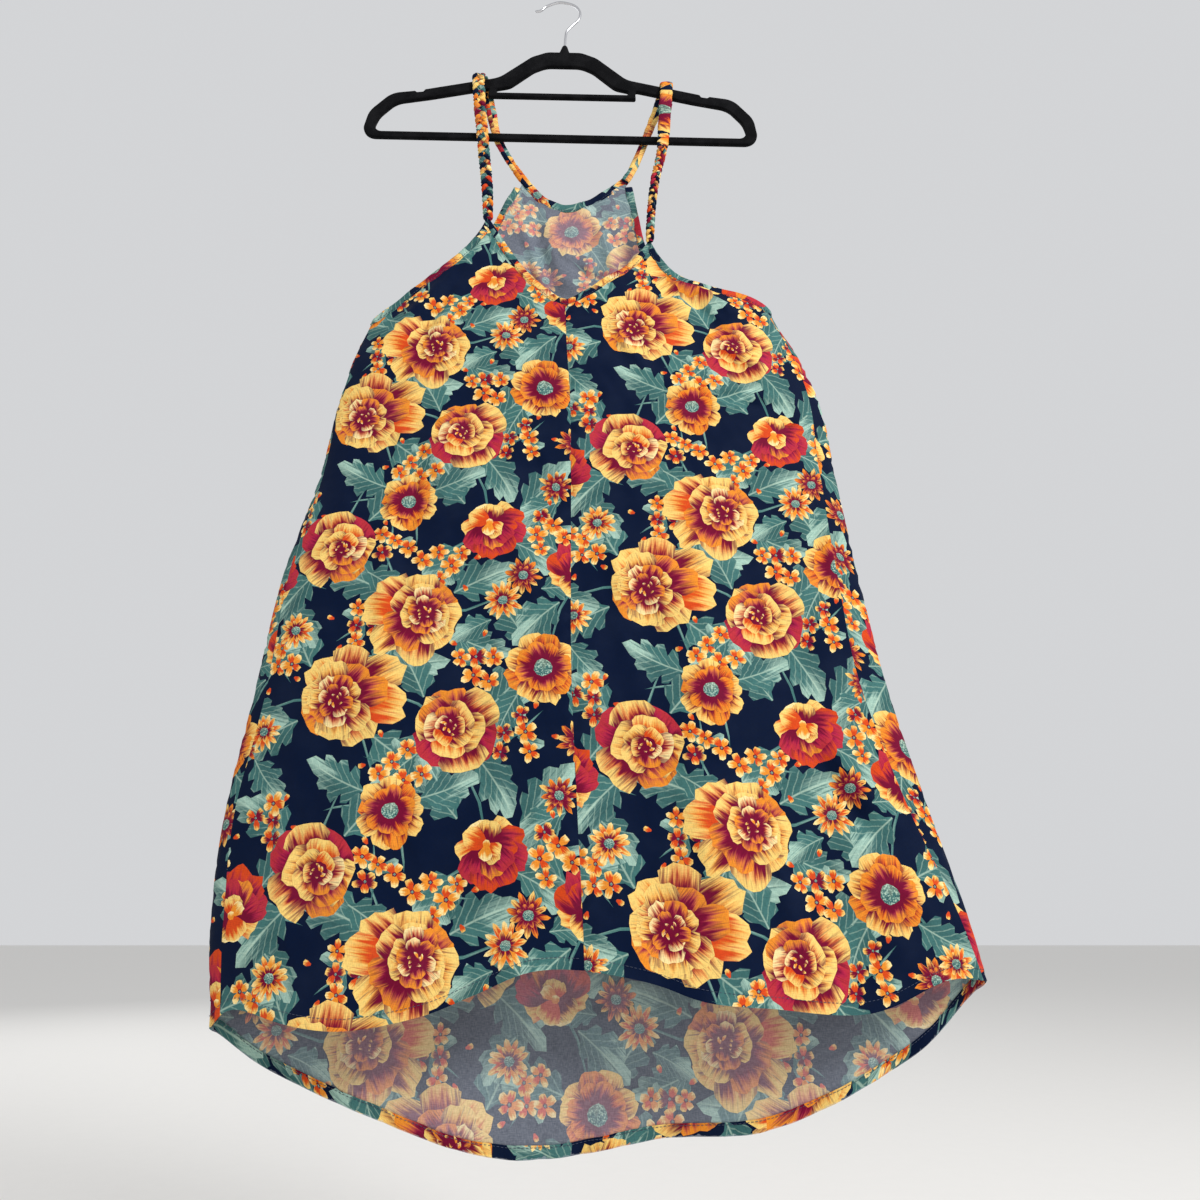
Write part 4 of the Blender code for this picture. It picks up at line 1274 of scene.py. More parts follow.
def build_panel(name, face, sides, offset, repeat, held_by):
    panel = Panel(face, sides)
    shapes = print_on(panel.outline, repeat, np.array(offset, float), 0)
    cloth = Cloth()
    drawn = cut_flat(panel.outline, shapes, *PANEL_STEP)
    cloth.two_faced(*drawn, shapes, panel.place, sizes().cloth / MM)
    piece = hung(cloth.build(name + "_cloth", "right_side", "wrong_side"), name)
    band = panel.allowance()
    band_shapes = print_on(band, repeat, np.array(offset, float), 0)
    turned = Cloth()
    turned.add(*cut_flat(band, band_shapes, *HEM_STEP), band_shapes, panel.turned_up)
    hem = hung(turned.build(name + "_hem", "right_side"))
    size = np.ptp(panel.outline, axis=0) * MM
    flat_area(panel.outline) * MM * MM
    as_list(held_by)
    return panel


def strip(length, width):
    return np.array([(0, 0), (length, 0), (length, width), (0, width)])


class Sweep(Laid):
    """A long piece of oval section: centres, two half axes and their lengths, along a route."""

    SLOPE_STEP = 0.3

    def __init__(self, centres, acrosses, throughs, widths, depths, seam, squareness=1.0):
        self.lengths = lengths_along(centres)
        self.rows = np.concatenate(
            [centres, acrosses * (widths / 2)[:, None], throughs * (depths / 2)[:, None]], axis=1
        )
        self.seam = seam
        self.squareness = squareness
        self.girth = float(np.mean(math.pi * np.sqrt((widths**2 + depths**2) / 2) / 2 * 1.02))

    def surface(self, flat):
        rows = self.at(flat[:, 0])
        angle = 2 * math.pi * flat[:, 1] / self.girth + self.seam
        cos, sin = boxed(angle, self.squareness, self.squareness)
        s = flat[:, 0]
        pull = 1 + 0.07 * np.sin(s / 4.1 + 2 * np.sin(s / 13)) * np.sin(angle * 2 + s / 30)
        reach = rows[:, 3:6] * cos[:, None] + rows[:, 6:] * sin[:, None]
        return rows[:, :3] + reach * pull[:, None]

    def add_to(self, cloth, repeat, offset, angle, step=TUBE_STEP, map_part=(0, 1)):
        outline = strip(self.lengths[-1], self.girth)
        shapes = print_on(outline, repeat, np.array(offset, float), angle)
        drawn = cut_flat(outline, shapes, *step)
        cloth.add(*drawn, shapes, self.place, turned=True, map_part=map_part)
        self.cap(cloth, 0.0)
        self.cap(cloth, float(self.lengths[-1]))

    def cap(self, cloth, length):
        """Closes an end with a low dome."""
        count = 14
        inset = 0.9 if length > 0 else -0.9
        rings = []
        for share, reach in ((1.0, 0.0), (0.7, 0.7), (0.0, 1.0)):
            flat = np.stack(
                [np.full(count, length), np.arange(count) * self.girth / count], axis=1
            )
            rim = self.surface(flat)
            middle = self.at(np.array([length]))[:, :3]
            ahead = self.at(np.array([length - inset]))[:, :3] - middle
            rings.append(middle + (rim - middle) * share - ahead * reach)
        points = np.concatenate([rings[0], rings[1], rings[2][:1]])
        faces = []
        for index in range(count):
            after = (index + 1) % count
            low, low_after = count + index, count + after
            faces += [(index, after, low), (after, low_after, low), (low, low_after, 2 * count)]
        faces = np.array(faces)
        spots = np.stack([np.arange(len(points)) * 0.3, np.zeros(len(points))], axis=1)
        tops = np.full(len(faces), -1)
        a, b, c = (points[faces[:, k]] for k in range(3))
        facing = np.cross(b - a, c - a).mean(axis=0)
        outward = points[-1] - points[:count].mean(axis=0)
        if facing @ outward < 0:
            faces = faces[:, ::-1]
        centre = points[:count].mean(axis=0) - unit(outward) * 2
        cloth.add(spots, faces, tops, [], lambda _: (points, unit(points - centre)))


def strap_frames(route):
    """Centres, across and through directions and widths along a strap's route."""
    centres = np.array([point[:3] for point in route])
    along = unit(np.gradient(centres, axis=0))
    across = np.array((1.0, 0, 0)) - along * along[:, :1]
    across = unit(across)
    return centres, across, np.cross(along, across), np.array([point[3] for point in route])


def strap_route(front, back):
    """Points and widths from the dress's front, over the hanger's arm, to its back."""
    up = smooth_path(front, 4)
    down = smooth_path(back, 4)[::-1]
    start = up[-1]
    finish_point = down[0]
    crown = []
    for step in range(1, 8):
        part = step / 8
        point = start.lerp(finish_point, part)
        point.y = -STRAP_REACH * math.cos(math.pi * part)
        point.z = start.z + STRAP_REACH * math.sin(math.pi * part)
        crown.append(point)
    return up + crown + down, len(up) + 4


def finer(rows, step):
    """Rows of numbers resampled evenly along their first three."""
    rows = np.array([tuple(row) for row in rows], float)
    lengths = lengths_along(rows[:, :3])
    spots = np.linspace(0, lengths[-1], max(int(lengths[-1] / step), 8))
    return rows_at(spots, lengths, rows)


def braid_strands(rows, pitch):
    """Three strands that weave over each other along a strap."""
    centres, across, through, widths = strap_frames(finer(rows, 1.0))
    length = lengths_along(centres)
    ease = np.clip(np.minimum(length, length[-1] - length) / 9 + 0.62, 0, 1)
    strands = []
    for number in range(3):
        phase = 2 * math.pi * (length / pitch + number / 3)
        aside = np.sin(phase) * (widths * 0.5 - widths * 0.2) * ease
        over = np.sin(2 * phase) * 1.55 * ease
        path = centres + across * aside[:, None] + through * over[:, None]
        along = unit(np.gradient(path, axis=0))
        side = unit(np.cross(through, along))
        thick = np.cross(along, side)
        ones = np.ones(len(path))
        strands.append(
            Sweep(path, side, thick, widths * 0.43 * ease**0.3, 3.3 * ones, math.pi / 2, 0.9)
        )
    return strands


def build_straps(repeat):
    for side, front, back, front_join, braid_top in (
        ("left", FRONT_STRAP_LEFT, BACK_STRAP_LEFT, False, BRAID_TOP_LEFT),
        ("right", FRONT_STRAP_RIGHT, BACK_STRAP_RIGHT, True, BRAID_TOP_RIGHT)
    ):
        route, crown = strap_route(front, back)
        if front_join:
            join = next(index for index, point in enumerate(route) if point.z > braid_top)
        else:
            behind = range(crown, len(route))
            join = next(index for index in behind if route[index].z < braid_top)
        middle = (route[join - 1] + route[join]) / 2
        cloth = Cloth()
        foot = route[0] - (route[1] - route[0]).normalized() * BRAID_SEAT
        strands = braid_strands([foot] + route[:join] + [middle], sizes().braid_pitch / MM)
        for number, strand in enumerate(strands):
            offset = (40 + 70 * number, 25 + 90 * number + (60 if side == "left" else 0))
            part = (number / 3, 1 / 3)
            strand.add_to(cloth, repeat, offset, 30 + 20 * number, BRAID_STEP, part)
        name = f"strap_braid_{side}"
        hung(cloth.build(name + "_cloth", "strap_cloth"), name)
        toe = route[-1] + (route[-1] - route[-2]).normalized() * TUBE_SEAT
        tube_rows = finer([middle] + route[join:] + [toe], 1.5)
        centres, across, through, widths = strap_frames(tube_rows)
        lift = np.full(len(centres), 5.0)
        tube = Sweep(centres, across, through, widths, lift, math.pi / 2, 0.75)
        cloth = Cloth()
        tube.add_to(cloth, repeat, (15, 60) if side == "left" else (120, 200), 0)
        name = f"strap_tube_{side}"
        hung(cloth.build(name + "_cloth", "strap_cloth"), name)


class Binding(Laid):
    """A bias strip folded over a finished edge, a little full, with a row of stitches."""

    SLOPE_STEP = 0.25

    def __init__(self, rows, inward, width, mitre_start=0, mitre_end=0):
        turn, level = spread_edge(rows)
        if rows[0].face != rows[-1].face:  # an armhole runs on behind, under the tube
            turn = np.append(turn, 2 * turn[-1] - turn[-2])
            level = np.append(level, 2 * level[-1] - level[-2])
        points, steps, normals, lengths = edge_frame(turn, level, inward)
        self.lengths = lengths
        self.inward = inward
        widths = np.full(len(lengths), width)
        if mitre_start:
            widths = np.minimum(widths, np.maximum(lengths * mitre_start, 0.8))
        if mitre_end:
            widths = np.minimum(widths, np.maximum((lengths[-1] - lengths) * mitre_end, 0.8))
        self.rows = np.concatenate([points, steps, normals, widths[:, None]], axis=1)
        self.girth = 2 * width + 4

    def surface(self, flat):
        rows = self.at(flat[:, 0])
        angle = 2 * math.pi * flat[:, 1] / self.girth - math.pi
        cos, sin = boxed(angle, 0.8, 0.6)
        s = flat[:, 0]
        puff = 1 + 0.12 * np.sin(s / 1.9 + 2.2 * np.sin(s / 17)) + 0.1 * np.sin(s / 6.3)
        half = sizes().cloth / MM / 2 + sizes().binding_proud / MM * puff
        into = rows[:, 9] * (1 - cos) / 2
        # The row of stitches draws the strip in, near its inner edge.
        sewn = np.exp(-(((into - rows[:, 9] + HEM_SEWN) / 0.7) ** 2))
        half = half * (1 - 0.34 * sewn)
        rise = half * sin - sizes().cloth / MM / 2
        return rows[:, :3] + rows[:, 3:6] * into[:, None] + rows[:, 6:9] * rise[:, None]

    def build(self, name, repeat, offset, angle):
        outline = strip(self.lengths[-1], self.girth)
        shapes = print_on(outline, repeat, np.array(offset, float), angle)
        cloth = Cloth()
        drawn = cut_flat(outline, shapes, *BINDING_STEP)
        cloth.add(*drawn, shapes, self.place, turned=self.inward < 0)
        hung(cloth.build(name + "_cloth", "right_side"), name)

    def stitch_line(self, outside=True):
        """Points and normals of the row of stitches on one face."""
        spots = np.arange(6, self.lengths[-1] - 6, 0.8)
        rows = self.at(spots)
        into = rows[:, 9] - HEM_SEWN
        half = sizes().cloth / MM / 2 + sizes().binding_proud / MM * 0.72
        rise = (half if outside else -half) - sizes().cloth / MM / 2
        points = rows[:, :3] + rows[:, 3:6] * into[:, None] + rows[:, 6:9] * rise
        return points, rows[:, 6:9] * (1 if outside else -1)


def mitre_slope(rows, other_rows, at_end):
    """The slope of a mitre where two edges leave the same corner."""
    ends = []
    for edge, last in ((rows, at_end), (other_rows, False)):
        corner, following = (edge[-1], edge[-2]) if last else edge[:2]
        ends.append(Vector((following.across - corner.across, following.level - corner.level)))
    return 1.15 * math.tan(ends[0].angle(ends[1]) / 2)


def build_stitches(name, lines):
    """Short raised stitches along lines of points and normals."""
    length = sizes().stitch_length / MM
    thread = sizes().thread / MM
    sides = 5
    vertices = []
    faces = []
    for points, normals in lines:
        lengths = lengths_along(points)
        starts = np.arange(0.4, lengths[-1] - length, length * 1.28)
        shares = np.array((0.0, 0.2, 0.5, 0.8, 1.0))
        rises = np.array((-0.35, 0.18, 0.3, 0.18, -0.35))
        thick = np.array((0.55, 0.95, 1.0, 0.95, 0.55)) * thread / 2
        for start in starts:
            spots = start + shares * length
            middle = rows_at(spots, lengths, points)
            up = unit(rows_at(spots, lengths, normals))
            along = unit(middle[-1] - middle[0])
            side = unit(np.cross(up, along))
            first = len(vertices)
            for ring in range(5):
                for corner in range(sides):
                    angle = 2 * math.pi * corner / sides
                    spoke = side[ring] * math.cos(angle) + up[ring] * math.sin(angle)
                    vertices.append(middle[ring] + up[ring] * rises[ring] + thick[ring] * spoke)
            for ring in range(4):
                for corner in range(sides):
                    a = first + ring * sides + corner
                    b = first + ring * sides + (corner + 1) % sides
                    faces.append((a, b, b + sides, a + sides))
            faces.append(tuple(first + corner for corner in reversed(range(sides))))
            faces.append(tuple(first + 4 * sides + corner for corner in range(sides)))
    mesh = bpy.data.meshes.new(name)
    mesh.from_pydata([tuple(vertex * MM) for vertex in vertices], [], faces)
    mesh.materials.append(finish("thread"))
    mesh.shade_smooth()
    return hung(linked(name, mesh))


# --- The hanger ------------------------------------------------------------------------------


def rounded_outline(corners, start, end):
    """The outline of a mirrored shape from half its corners, each rounded to its radius."""
    points = [Vector(start)]
    whole = [start, *((corner.across, corner.level) for corner in corners), end]
    for index, corner in enumerate(corners):
        before = Vector(whole[index])
        tip = Vector(whole[index + 1])
        after = Vector(whole[index + 2])
        back = (before - tip).normalized()
        ahead = (after - tip).normalized()
        opening = back.angle(ahead)
        swing = math.pi - opening
        reach = corner.radius / math.tan(opening / 2)
        centre = tip + (back + ahead).normalized() * corner.radius / math.sin(opening / 2)
        spoke = tip + back * reach - centre
        turn = -1 if back.cross(ahead) > 0 else 1
        count = max(round(math.degrees(swing) / 5), 2)
        for step in range(count + 1):
            spun = Matrix.Rotation(turn * swing * step / count, 2) @ spoke
            points.append(centre + spun)
    points.append(Vector(end))
    mirrored = [Vector((-point.x, point.y)) for point in points[-2:0:-1]]
    return points + mirrored


def mesh_from(curve, name):
    """A mesh of a curve as it stands."""
    shaped = linked(name + "_line", curve)
    bpy.context.view_layer.update()
    graph = bpy.context.evaluated_depsgraph_get()
    mesh = bpy.data.meshes.new_from_object(shaped.evaluated_get(graph))
    bpy.data.objects.remove(shaped)
    return mesh


def finished_hard(mesh, name, sharp):
    """Gives a mesh its one finish, smooth up to a sharp angle in degrees."""
    mesh.materials.clear()
    mesh.materials.append(finish(name))
    mesh.shade_smooth()
    mesh.set_sharp_from_angle(angle=math.radians(sharp))


def build_hanger():
    """A flat moulding with rounded edges, with its windows, and the neck for the hook."""
    depth = HANGER_DEPTH
    round_over = sizes().hanger_round / MM
    curve = bpy.data.curves.new("hanger_shape", "CURVE")
    curve.dimensions = "2D"
    curve.fill_mode = "BOTH"
    curve.extrude = (depth / 2 - round_over) * MM
    curve.bevel_depth = round_over * MM
    curve.bevel_resolution = 4
    curve.offset = -round_over * MM
    for corners in (HANGER_OUTLINE, MAIN_WINDOW, HUMP_WINDOW):
        outline = rounded_outline(corners, (0, corners[0].level), (0, corners[-1].level))
        clean = [outline[0]]
        clean += [point for point in outline[1:] if (point - clean[-1]).length > 0.05]
        line = curve.splines.new("POLY")
        line.points.add(len(clean) - 1)
        line.use_cyclic_u = True
        for spot, point in zip(line.points, clean):
            spot.co = ((HANGER_AXIS + point.x) * MM, point.y * MM, 0, 1)
    mesh = mesh_from(curve, "hanger_body")
    shape = bmesh.new()
    shape.from_mesh(mesh)
    bmesh.ops.remove_doubles(shape, verts=shape.verts, dist=0.00002)
    bmesh.ops.rotate(shape, verts=shape.verts, matrix=Matrix.Rotation(math.pi / 2, 3, "X"))
    rings = []
    for level, across, through in HANGER_NECK:
        ring = []
        for index in range(HANGER_ARCS):
            angle = 2 * math.pi * index / HANGER_ARCS
            x = HANGER_AXIS + across * math.cos(angle)
            ring.append(shape.verts.new(Vector((x, through * math.sin(angle), level)) * MM))
        rings.append(ring)
    for low, high in zip(rings, rings[1:]):
        for index in range(HANGER_ARCS):
            after = (index + 1) % HANGER_ARCS
            shape.faces.new((low[index], low[after], high[after], high[index]))
    shape.faces.new(rings[-1])
    shape.faces.new(rings[0][::-1])
    bmesh.ops.rotate(
        shape, verts=shape.verts, matrix=Matrix.Rotation(math.radians(HANGER_TILT), 3, "Y")
    )
    bmesh.ops.recalc_face_normals(shape, faces=shape.faces)
    shape.to_mesh(mesh)
    shape.free()
    finished_hard(mesh, "flock", 40)
    hung(linked("hanger_flocked", mesh), "hanger", slot="hanger_flock")


def build_hook():
    """A bent wire with a rounded tip."""
    route = smooth_path([(x, 0, z) for x, z in HOOK_ROUTE], 12)
    curve = bpy.data.curves.new("hook_wire", "CURVE")
    curve.dimensions = "3D"
    curve.bevel_depth = HOOK_WIRE * MM
    curve.bevel_resolution = 6
    curve.use_fill_caps = True
    line = curve.splines.new("POLY")
    tip = [route[-1] + (route[-1] - route[-2]).normalized() * step for step in (0.5, 0.9, 1.1)]
    line.points.add(len(route) + len(tip) - 1)
    radii = [1.0] * len(route) + [0.9, 0.66, 0.3]
    for spot, point, radius in zip(line.points, route + tip, radii):
        spot.co = (*(point * MM), 1)
        spot.radius = radius
    mesh = mesh_from(curve, "hook")
    mesh.transform(Matrix.Rotation(math.radians(HANGER_TILT), 4, "Y"))
    finished_hard(mesh, "steel", 60)
    hung(linked("hook_wire", mesh), "hanger_hook", slot="hook_steel")


# --- Finishes --------------------------------------------------------------------------------


class Value:
    """A shader socket that takes part in Python expressions."""

    def __init__(self, nodes, socket):
        self.nodes = nodes
        self.socket = socket

    def math(self, operation, *others):
        return self.nodes.math(operation, self, *others)

    def __add__(self, other):
        return self.math("ADD", other)

    __radd__ = __add__

    def __sub__(self, other):
        return self.math("SUBTRACT", other)

    def __rsub__(self, other):
        return self.nodes.math("SUBTRACT", other, self)

    def __mul__(self, other):
        return self.math("MULTIPLY", other)

    __rmul__ = __mul__

    def __pow__(self, other):
        return self.math("POWER", other)

    def __neg__(self):
        return self.math("MULTIPLY", -1.0)

    def __abs__(self):
        return self.math("ABSOLUTE")

    def clip(self):
        return self.nodes.node("ShaderNodeClamp", {}, {"Value": self, "Min": 0.0, "Max": 1.0})

    def ramp(self, low, high):
        """0 below low and 1 above high, smooth between."""
        return self.nodes.node(
            "ShaderNodeMapRange", {"interpolation_type": "SMOOTHSTEP"},
            {"Value": self, "From Min": low, "From Max": high}
        )


class Nodes:
    """A material's nodes, with its one shader."""

    def __init__(self, name):
        self.material = bpy.data.materials.new(name)
        self.material.use_nodes = True
        self.tree = self.material.node_tree
        self.shader = self.tree.nodes["Principled BSDF"]

    def node(self, kind, settings, sockets, out=0):
        made = self.tree.nodes.new(kind)
        for key, value in settings.items():
            setattr(made, key, value)
        for key, value in sockets.items():
            self.feed(made.inputs[key], value)
        return Value(self, made.outputs[out])

    def feed(self, socket, value):
        if isinstance(value, Value):
            self.tree.links.new(value.socket, socket)
        elif isinstance(value, tuple) and len(value) == 3 and socket.type == "RGBA":
            socket.default_value = (*value, 1)
        else:
            socket.default_value = value

    def math(self, operation, *values):
        return self.node("ShaderNodeMath", {"operation": operation}, dict(enumerate(values)))

    def mix(self, share, first, second):
        settings = {"data_type": "RGBA", "clamp_factor": True}
        return self.node("ShaderNodeMix", settings, {0: share, 6: first, 7: second}, out=2)

    def vector(self, x, y, z=0.0):
        return self.node("ShaderNodeCombineXYZ", {}, {"X": x, "Y": y, "Z": z})

    def attribute(self, name, out="Vector"):
        return self.node("ShaderNodeAttribute", {"attribute_name": name}, {}, out=out)

    def place(self):
        return self.node("ShaderNodeTexCoord", {}, {}, out="Object")

    def parts(self, vector):
        made = self.node("ShaderNodeSeparateXYZ", {}, {"Vector": vector})
        outputs = made.socket.node.outputs
        return tuple(Value(self, outputs[axis]) for axis in "XYZ")

    def noise(self, vector, scale, detail=2.0, roughness=0.5, out="Fac"):
        sockets = {"Vector": vector, "Scale": scale, "Detail": detail, "Roughness": roughness}
        return self.node("ShaderNodeTexNoise", {}, sockets, out=out)

    def bump(self, height, strength, distance, normal=None):
        sockets = {"Height": height, "Strength": strength, "Distance": distance}
        if normal is not None:
            sockets["Normal"] = normal
        return self.node("ShaderNodeBump", {}, sockets)

    def finish(self, colour, roughness, normal=None, **constants):
        self.feed(self.shader.inputs["Base Color"], colour)
        self.feed(self.shader.inputs["Roughness"], roughness)
        if normal is not None:
            self.feed(self.shader.inputs["Normal"], normal)
        for key, value in constants.items():
            self.feed(self.shader.inputs[key.replace("_", " ")], value)
        return self.material


SHADE = (0.01, 0.03, 0.04)  # of leaves and of flower eyes


def printed_finish(name, faded_and_painted_lighter):
    """Printed rayon: the dyes of each petal or leaf, brushed along it, on a fine plain weave."""
    nodes = Nodes(name)
    along, aside, seed = nodes.parts(nodes.attribute("petal"))
    kind = nodes.attribute("veins", "Fac")
    veins = kind.clip()
    throat = nodes.attribute("throat", "Color")
    body = nodes.attribute("body", "Color")
    rim = nodes.attribute("rim", "Color")
    stroke = nodes.noise(nodes.vector(aside * 3.2, along * 0.8, seed), 1.0, 3.0, 0.62)
    hair = nodes.noise(nodes.vector(aside * 9.0, along * 1.1, seed + 7.0), 1.0, 2.0, 0.6)
    reach = along + (stroke - 0.5) * 1.15 + (hair - 0.5) * 0.5 - abs(aside) * 0.1
    colour = nodes.mix(reach.ramp(0.42, 0.76), throat, body)
    edge = reach + abs(aside) ** 3.0 * 0.3
    colour = nodes.mix(edge.ramp(0.52, 0.94), colour, rim)
    etched = hair.ramp(0.53, 0.66) * (1 - along.ramp(0.6, 1.25)) * 0.8
    colour = nodes.mix(etched, colour, throat)
    drawn_edge = (-aside).ramp(0.72, 0.98) * (1 - along.ramp(0.75, 0.98)) * 0.6 * (1 - veins)
    colour = nodes.mix(drawn_edge, colour, throat)
    # Leaves have a pale rib and side veins that lean to the tip, and one shaded half.
    rib = 1 - abs(aside).ramp(0.015, 0.06)
    slant = along * 7.0 - abs(aside) * 2.6 + (stroke - 0.5) * 0.8
    side_vein = 1 - abs(nodes.math("FRACT", slant) - 0.5).ramp(0.03, 0.13)
    side_vein = side_vein * (1 - abs(aside).ramp(0.75, 1.0))
    shade = aside.ramp(-0.2, 0.35) * veins * 0.55 + hair.ramp(0.5, 0.72) * veins * 0.3
    colour = nodes.mix(shade, colour, nodes.mix(0.5, throat, SHADE))
    pale = nodes.math("MAXIMUM", rib * (1 - along.ramp(0.7, 1.0)), side_vein * 0.5) * veins
    vein_dye = tuple(colours().leaf_pale)
    colour = nodes.mix(pale * 0.5, colour, vein_dye)
    # An eye is speckled with pollen.
    pollen = nodes.noise(nodes.vector(aside * 2.0, along * 4.0, seed), 2.6, 2.0, 0.6)
    eye = (-kind).clip()
    colour = nodes.mix(pollen.ramp(0.5, 0.62) * eye * 0.7, colour, vein_dye)
    colour = nodes.mix((1 - pollen.ramp(0.3, 0.44)) * eye * 0.7, colour, SHADE)
    cut = nodes.attribute("cut")
    cloudy = nodes.noise(cut, 22.0, 3.0)
    x, y, _ = nodes.parts(cut)
    warp = nodes.noise(nodes.vector(x * 1500.0, y * 260.0), 1.0, 2.0)
    weft = nodes.noise(nodes.vector(x * 240.0, y * 1400.0, 9.0), 1.0, 2.0)
    weave = (warp + weft) * 0.5
    if faded_and_painted_lighter:
        # The wrong side fades to a pale colour: partly the print's real fade, partly painted light
        # that lifts the inside, which lies in shade.
        colour = nodes.mix(0.32, colour, tuple(colours().wrong_side))
        colour = nodes.mix(weave.ramp(0.3, 0.75) * 0.1, colour, (0.6, 0.62, 0.66))
    colour = nodes.mix(cloudy.ramp(0.4, 0.8) * 0.02, colour, (0.2, 0.26, 0.4))
    colour = nodes.mix(weave.ramp(0.35, 0.6) * -0.22 + 0.22, colour, (0.004, 0.006, 0.012))
    crushed = nodes.noise(cut, 120.0, 3.0, 0.6)
    normal = nodes.bump(weave, 0.35, 0.0004)
    normal = nodes.bump(crushed, 0.3, 0.0011, normal)
    roughness = 0.62 + cloudy * 0.12 + weave * 0.1
    return nodes.finish(
        colour, roughness, normal, Sheen_Weight=0.02, Sheen_Roughness=0.5, Specular_IOR_Level=0.05
    )


def thread_finish():
    nodes = Nodes("thread")
    place = nodes.place()
    twist = nodes.noise(place, 900.0, 2.0)
    colour = nodes.mix(twist, tuple(colours().thread), (0.05, 0.07, 0.12))
    normal = nodes.bump(twist, 0.4, 0.0002)
    return nodes.finish(colour, 0.5 + twist * 0.2, normal, Sheen_Weight=0.1)


def flock_finish():
    """Short black nylon fibre, brushed flat in places, and paler on its sharpest edges."""
    nodes = Nodes("flock")
    place = nodes.place()
    fibre = nodes.noise(place, 2600.0, 2.0, 0.7)
    brushed = nodes.noise(place, 60.0, 4.0, 0.6)
    colour = nodes.mix(brushed.ramp(0.35, 0.7), tuple(colours().flock), (0.006, 0.006, 0.007))
    colour = nodes.mix(fibre.ramp(0.45, 0.8) * 0.3, colour, (0.016, 0.016, 0.018))
    # Paler where the surface is sharpest, going by its pointiness.
    edge = nodes.node("ShaderNodeNewGeometry", {}, {}, out="Pointiness")
    colour = nodes.mix(edge.ramp(0.52, 0.62) * 0.3, colour, (0.018, 0.018, 0.02))
    normal = nodes.bump(fibre, 0.7, 0.0006)
    normal = nodes.bump(brushed, 0.15, 0.001, normal)
    return nodes.finish(
        colour, 0.88 + fibre * 0.1, normal, Sheen_Weight=0.05, Sheen_Roughness=0.35,
        Sheen_Tint=(0.6, 0.62, 0.7), Specular_IOR_Level=0.08
    )


def steel_finish():
    nodes = Nodes("steel")
    place = nodes.place()
    drawn = nodes.noise(place, 700.0, 3.0)
    smudge = nodes.noise(place, 90.0, 3.0)
    colour = nodes.mix(smudge.ramp(0.4, 0.8) * 0.4, tuple(colours().steel), (0.4, 0.4, 0.42))
    normal = nodes.bump(drawn, 0.08, 0.0002)
    return nodes.finish(colour, 0.16 + smudge * 0.16, normal, Metallic=1.0)


def floor_finish():
    nodes = Nodes("pale_floor")
    place = nodes.place()
    grain = nodes.noise(place, 40.0, 4.0)
    colour = nodes.mix(grain * 0.06, tuple(stage_settings().floor), (0.5, 0.5, 0.5))
    return nodes.finish(colour, 0.8 + grain * 0.1, nodes.bump(grain, 0.05, 0.001))


FINISHES = {
    "right_side": lambda: printed_finish("right_side", False),
    "wrong_side": lambda: printed_finish("wrong_side", True),
    "strap_cloth": lambda: printed_finish("strap_cloth", False),
    "thread": thread_finish, "flock": flock_finish, "steel": steel_finish,
    "pale_floor": floor_finish
}


def finish(name):
    """A finish by name, made once."""
    return bpy.data.materials.get(name) or FINISHES[name]()


# --- Settings --------------------------------------------------------------------------------


def number(name, description, default, **more):
    return bpy.props.FloatProperty(name=name, description=description, default=default, **more)


def length(name, description, default):
    return number(name, description, default, unit="LENGTH", precision=4)


def dye(name, description, red, green, blue):
    return bpy.props.FloatVectorProperty(
        name=name, description=description, default=hue(red, green, blue), subtype="COLOR", min=0,
        max=1
    )


class SundressSizes(bpy.types.PropertyGroup):
    """Sizes of the cloth, its sewing and the hanger"""

    cloth: length("Cloth wall", "Thickness that a panel is drawn with", 0.0009)
    binding_proud: length("Binding fullness", "How far a binding stands off the cloth", 0.0008)
    hem_depth: length("Hem depth", "Cloth turned up at a hem", 0.010)
    hem_ripple: length("Hem ripple", "How far a hem waves", 0.0016)
    braid_pitch: length("Braid pitch", "Length in which a strand crosses and returns", 0.024)
    stitch_length: length("Stitch length", "Length of one stitch", 0.0026)
    thread: length("Thread", "Thickness of the sewing thread", 0.00045)
    hanger_round: length("Hanger rounding", "Radius of the hanger's edges", 0.0018)
    crease_strength: number("Crease strength", "Height of the creases", 2.2, min=0, max=3)


class SundressColours(bpy.types.PropertyGroup):
    """Dyes of the print, and the other colours"""

    ground: dye("Ground", "Navy ground of the print", 3, 18, 46)
    wine: dye("Wine", "Deepest petals", 114, 10, 46)
    magenta: dye("Magenta", "Red petals", 166, 22, 74)
    ember: dye("Ember", "Red-orange petals", 212, 72, 26)
    orange: dye("Orange", "Orange petals", 234, 142, 44)
    yellow: dye("Yellow", "Yellow petals", 246, 208, 118)
    cream: dye("Cream", "Palest petals", 250, 226, 160)
    leaf_dark: dye("Leaf shade", "Shaded leaves", 66, 112, 109)
    leaf_light: dye("Leaf", "Leaves in light", 160, 193, 178)
    leaf_pale: dye("Leaf veins", "Veins and edges of leaves", 196, 222, 200)
    eye: dye("Flower eyes", "Middles of open flowers", 120, 142, 128)
    # Partly the print's real fade on the wrong side, partly painted light that lifts the shaded
    # inside.
    wrong_side: dye("Wrong side", "What the print fades to inside", 172, 178, 190)
    thread: dye("Thread", "Sewing thread", 18, 30, 62)
    flock: dye("Flock", "Velvet flock of the hanger", 4, 4, 6)
    steel: dye("Steel", "Wire of the hook", 205, 205, 208)


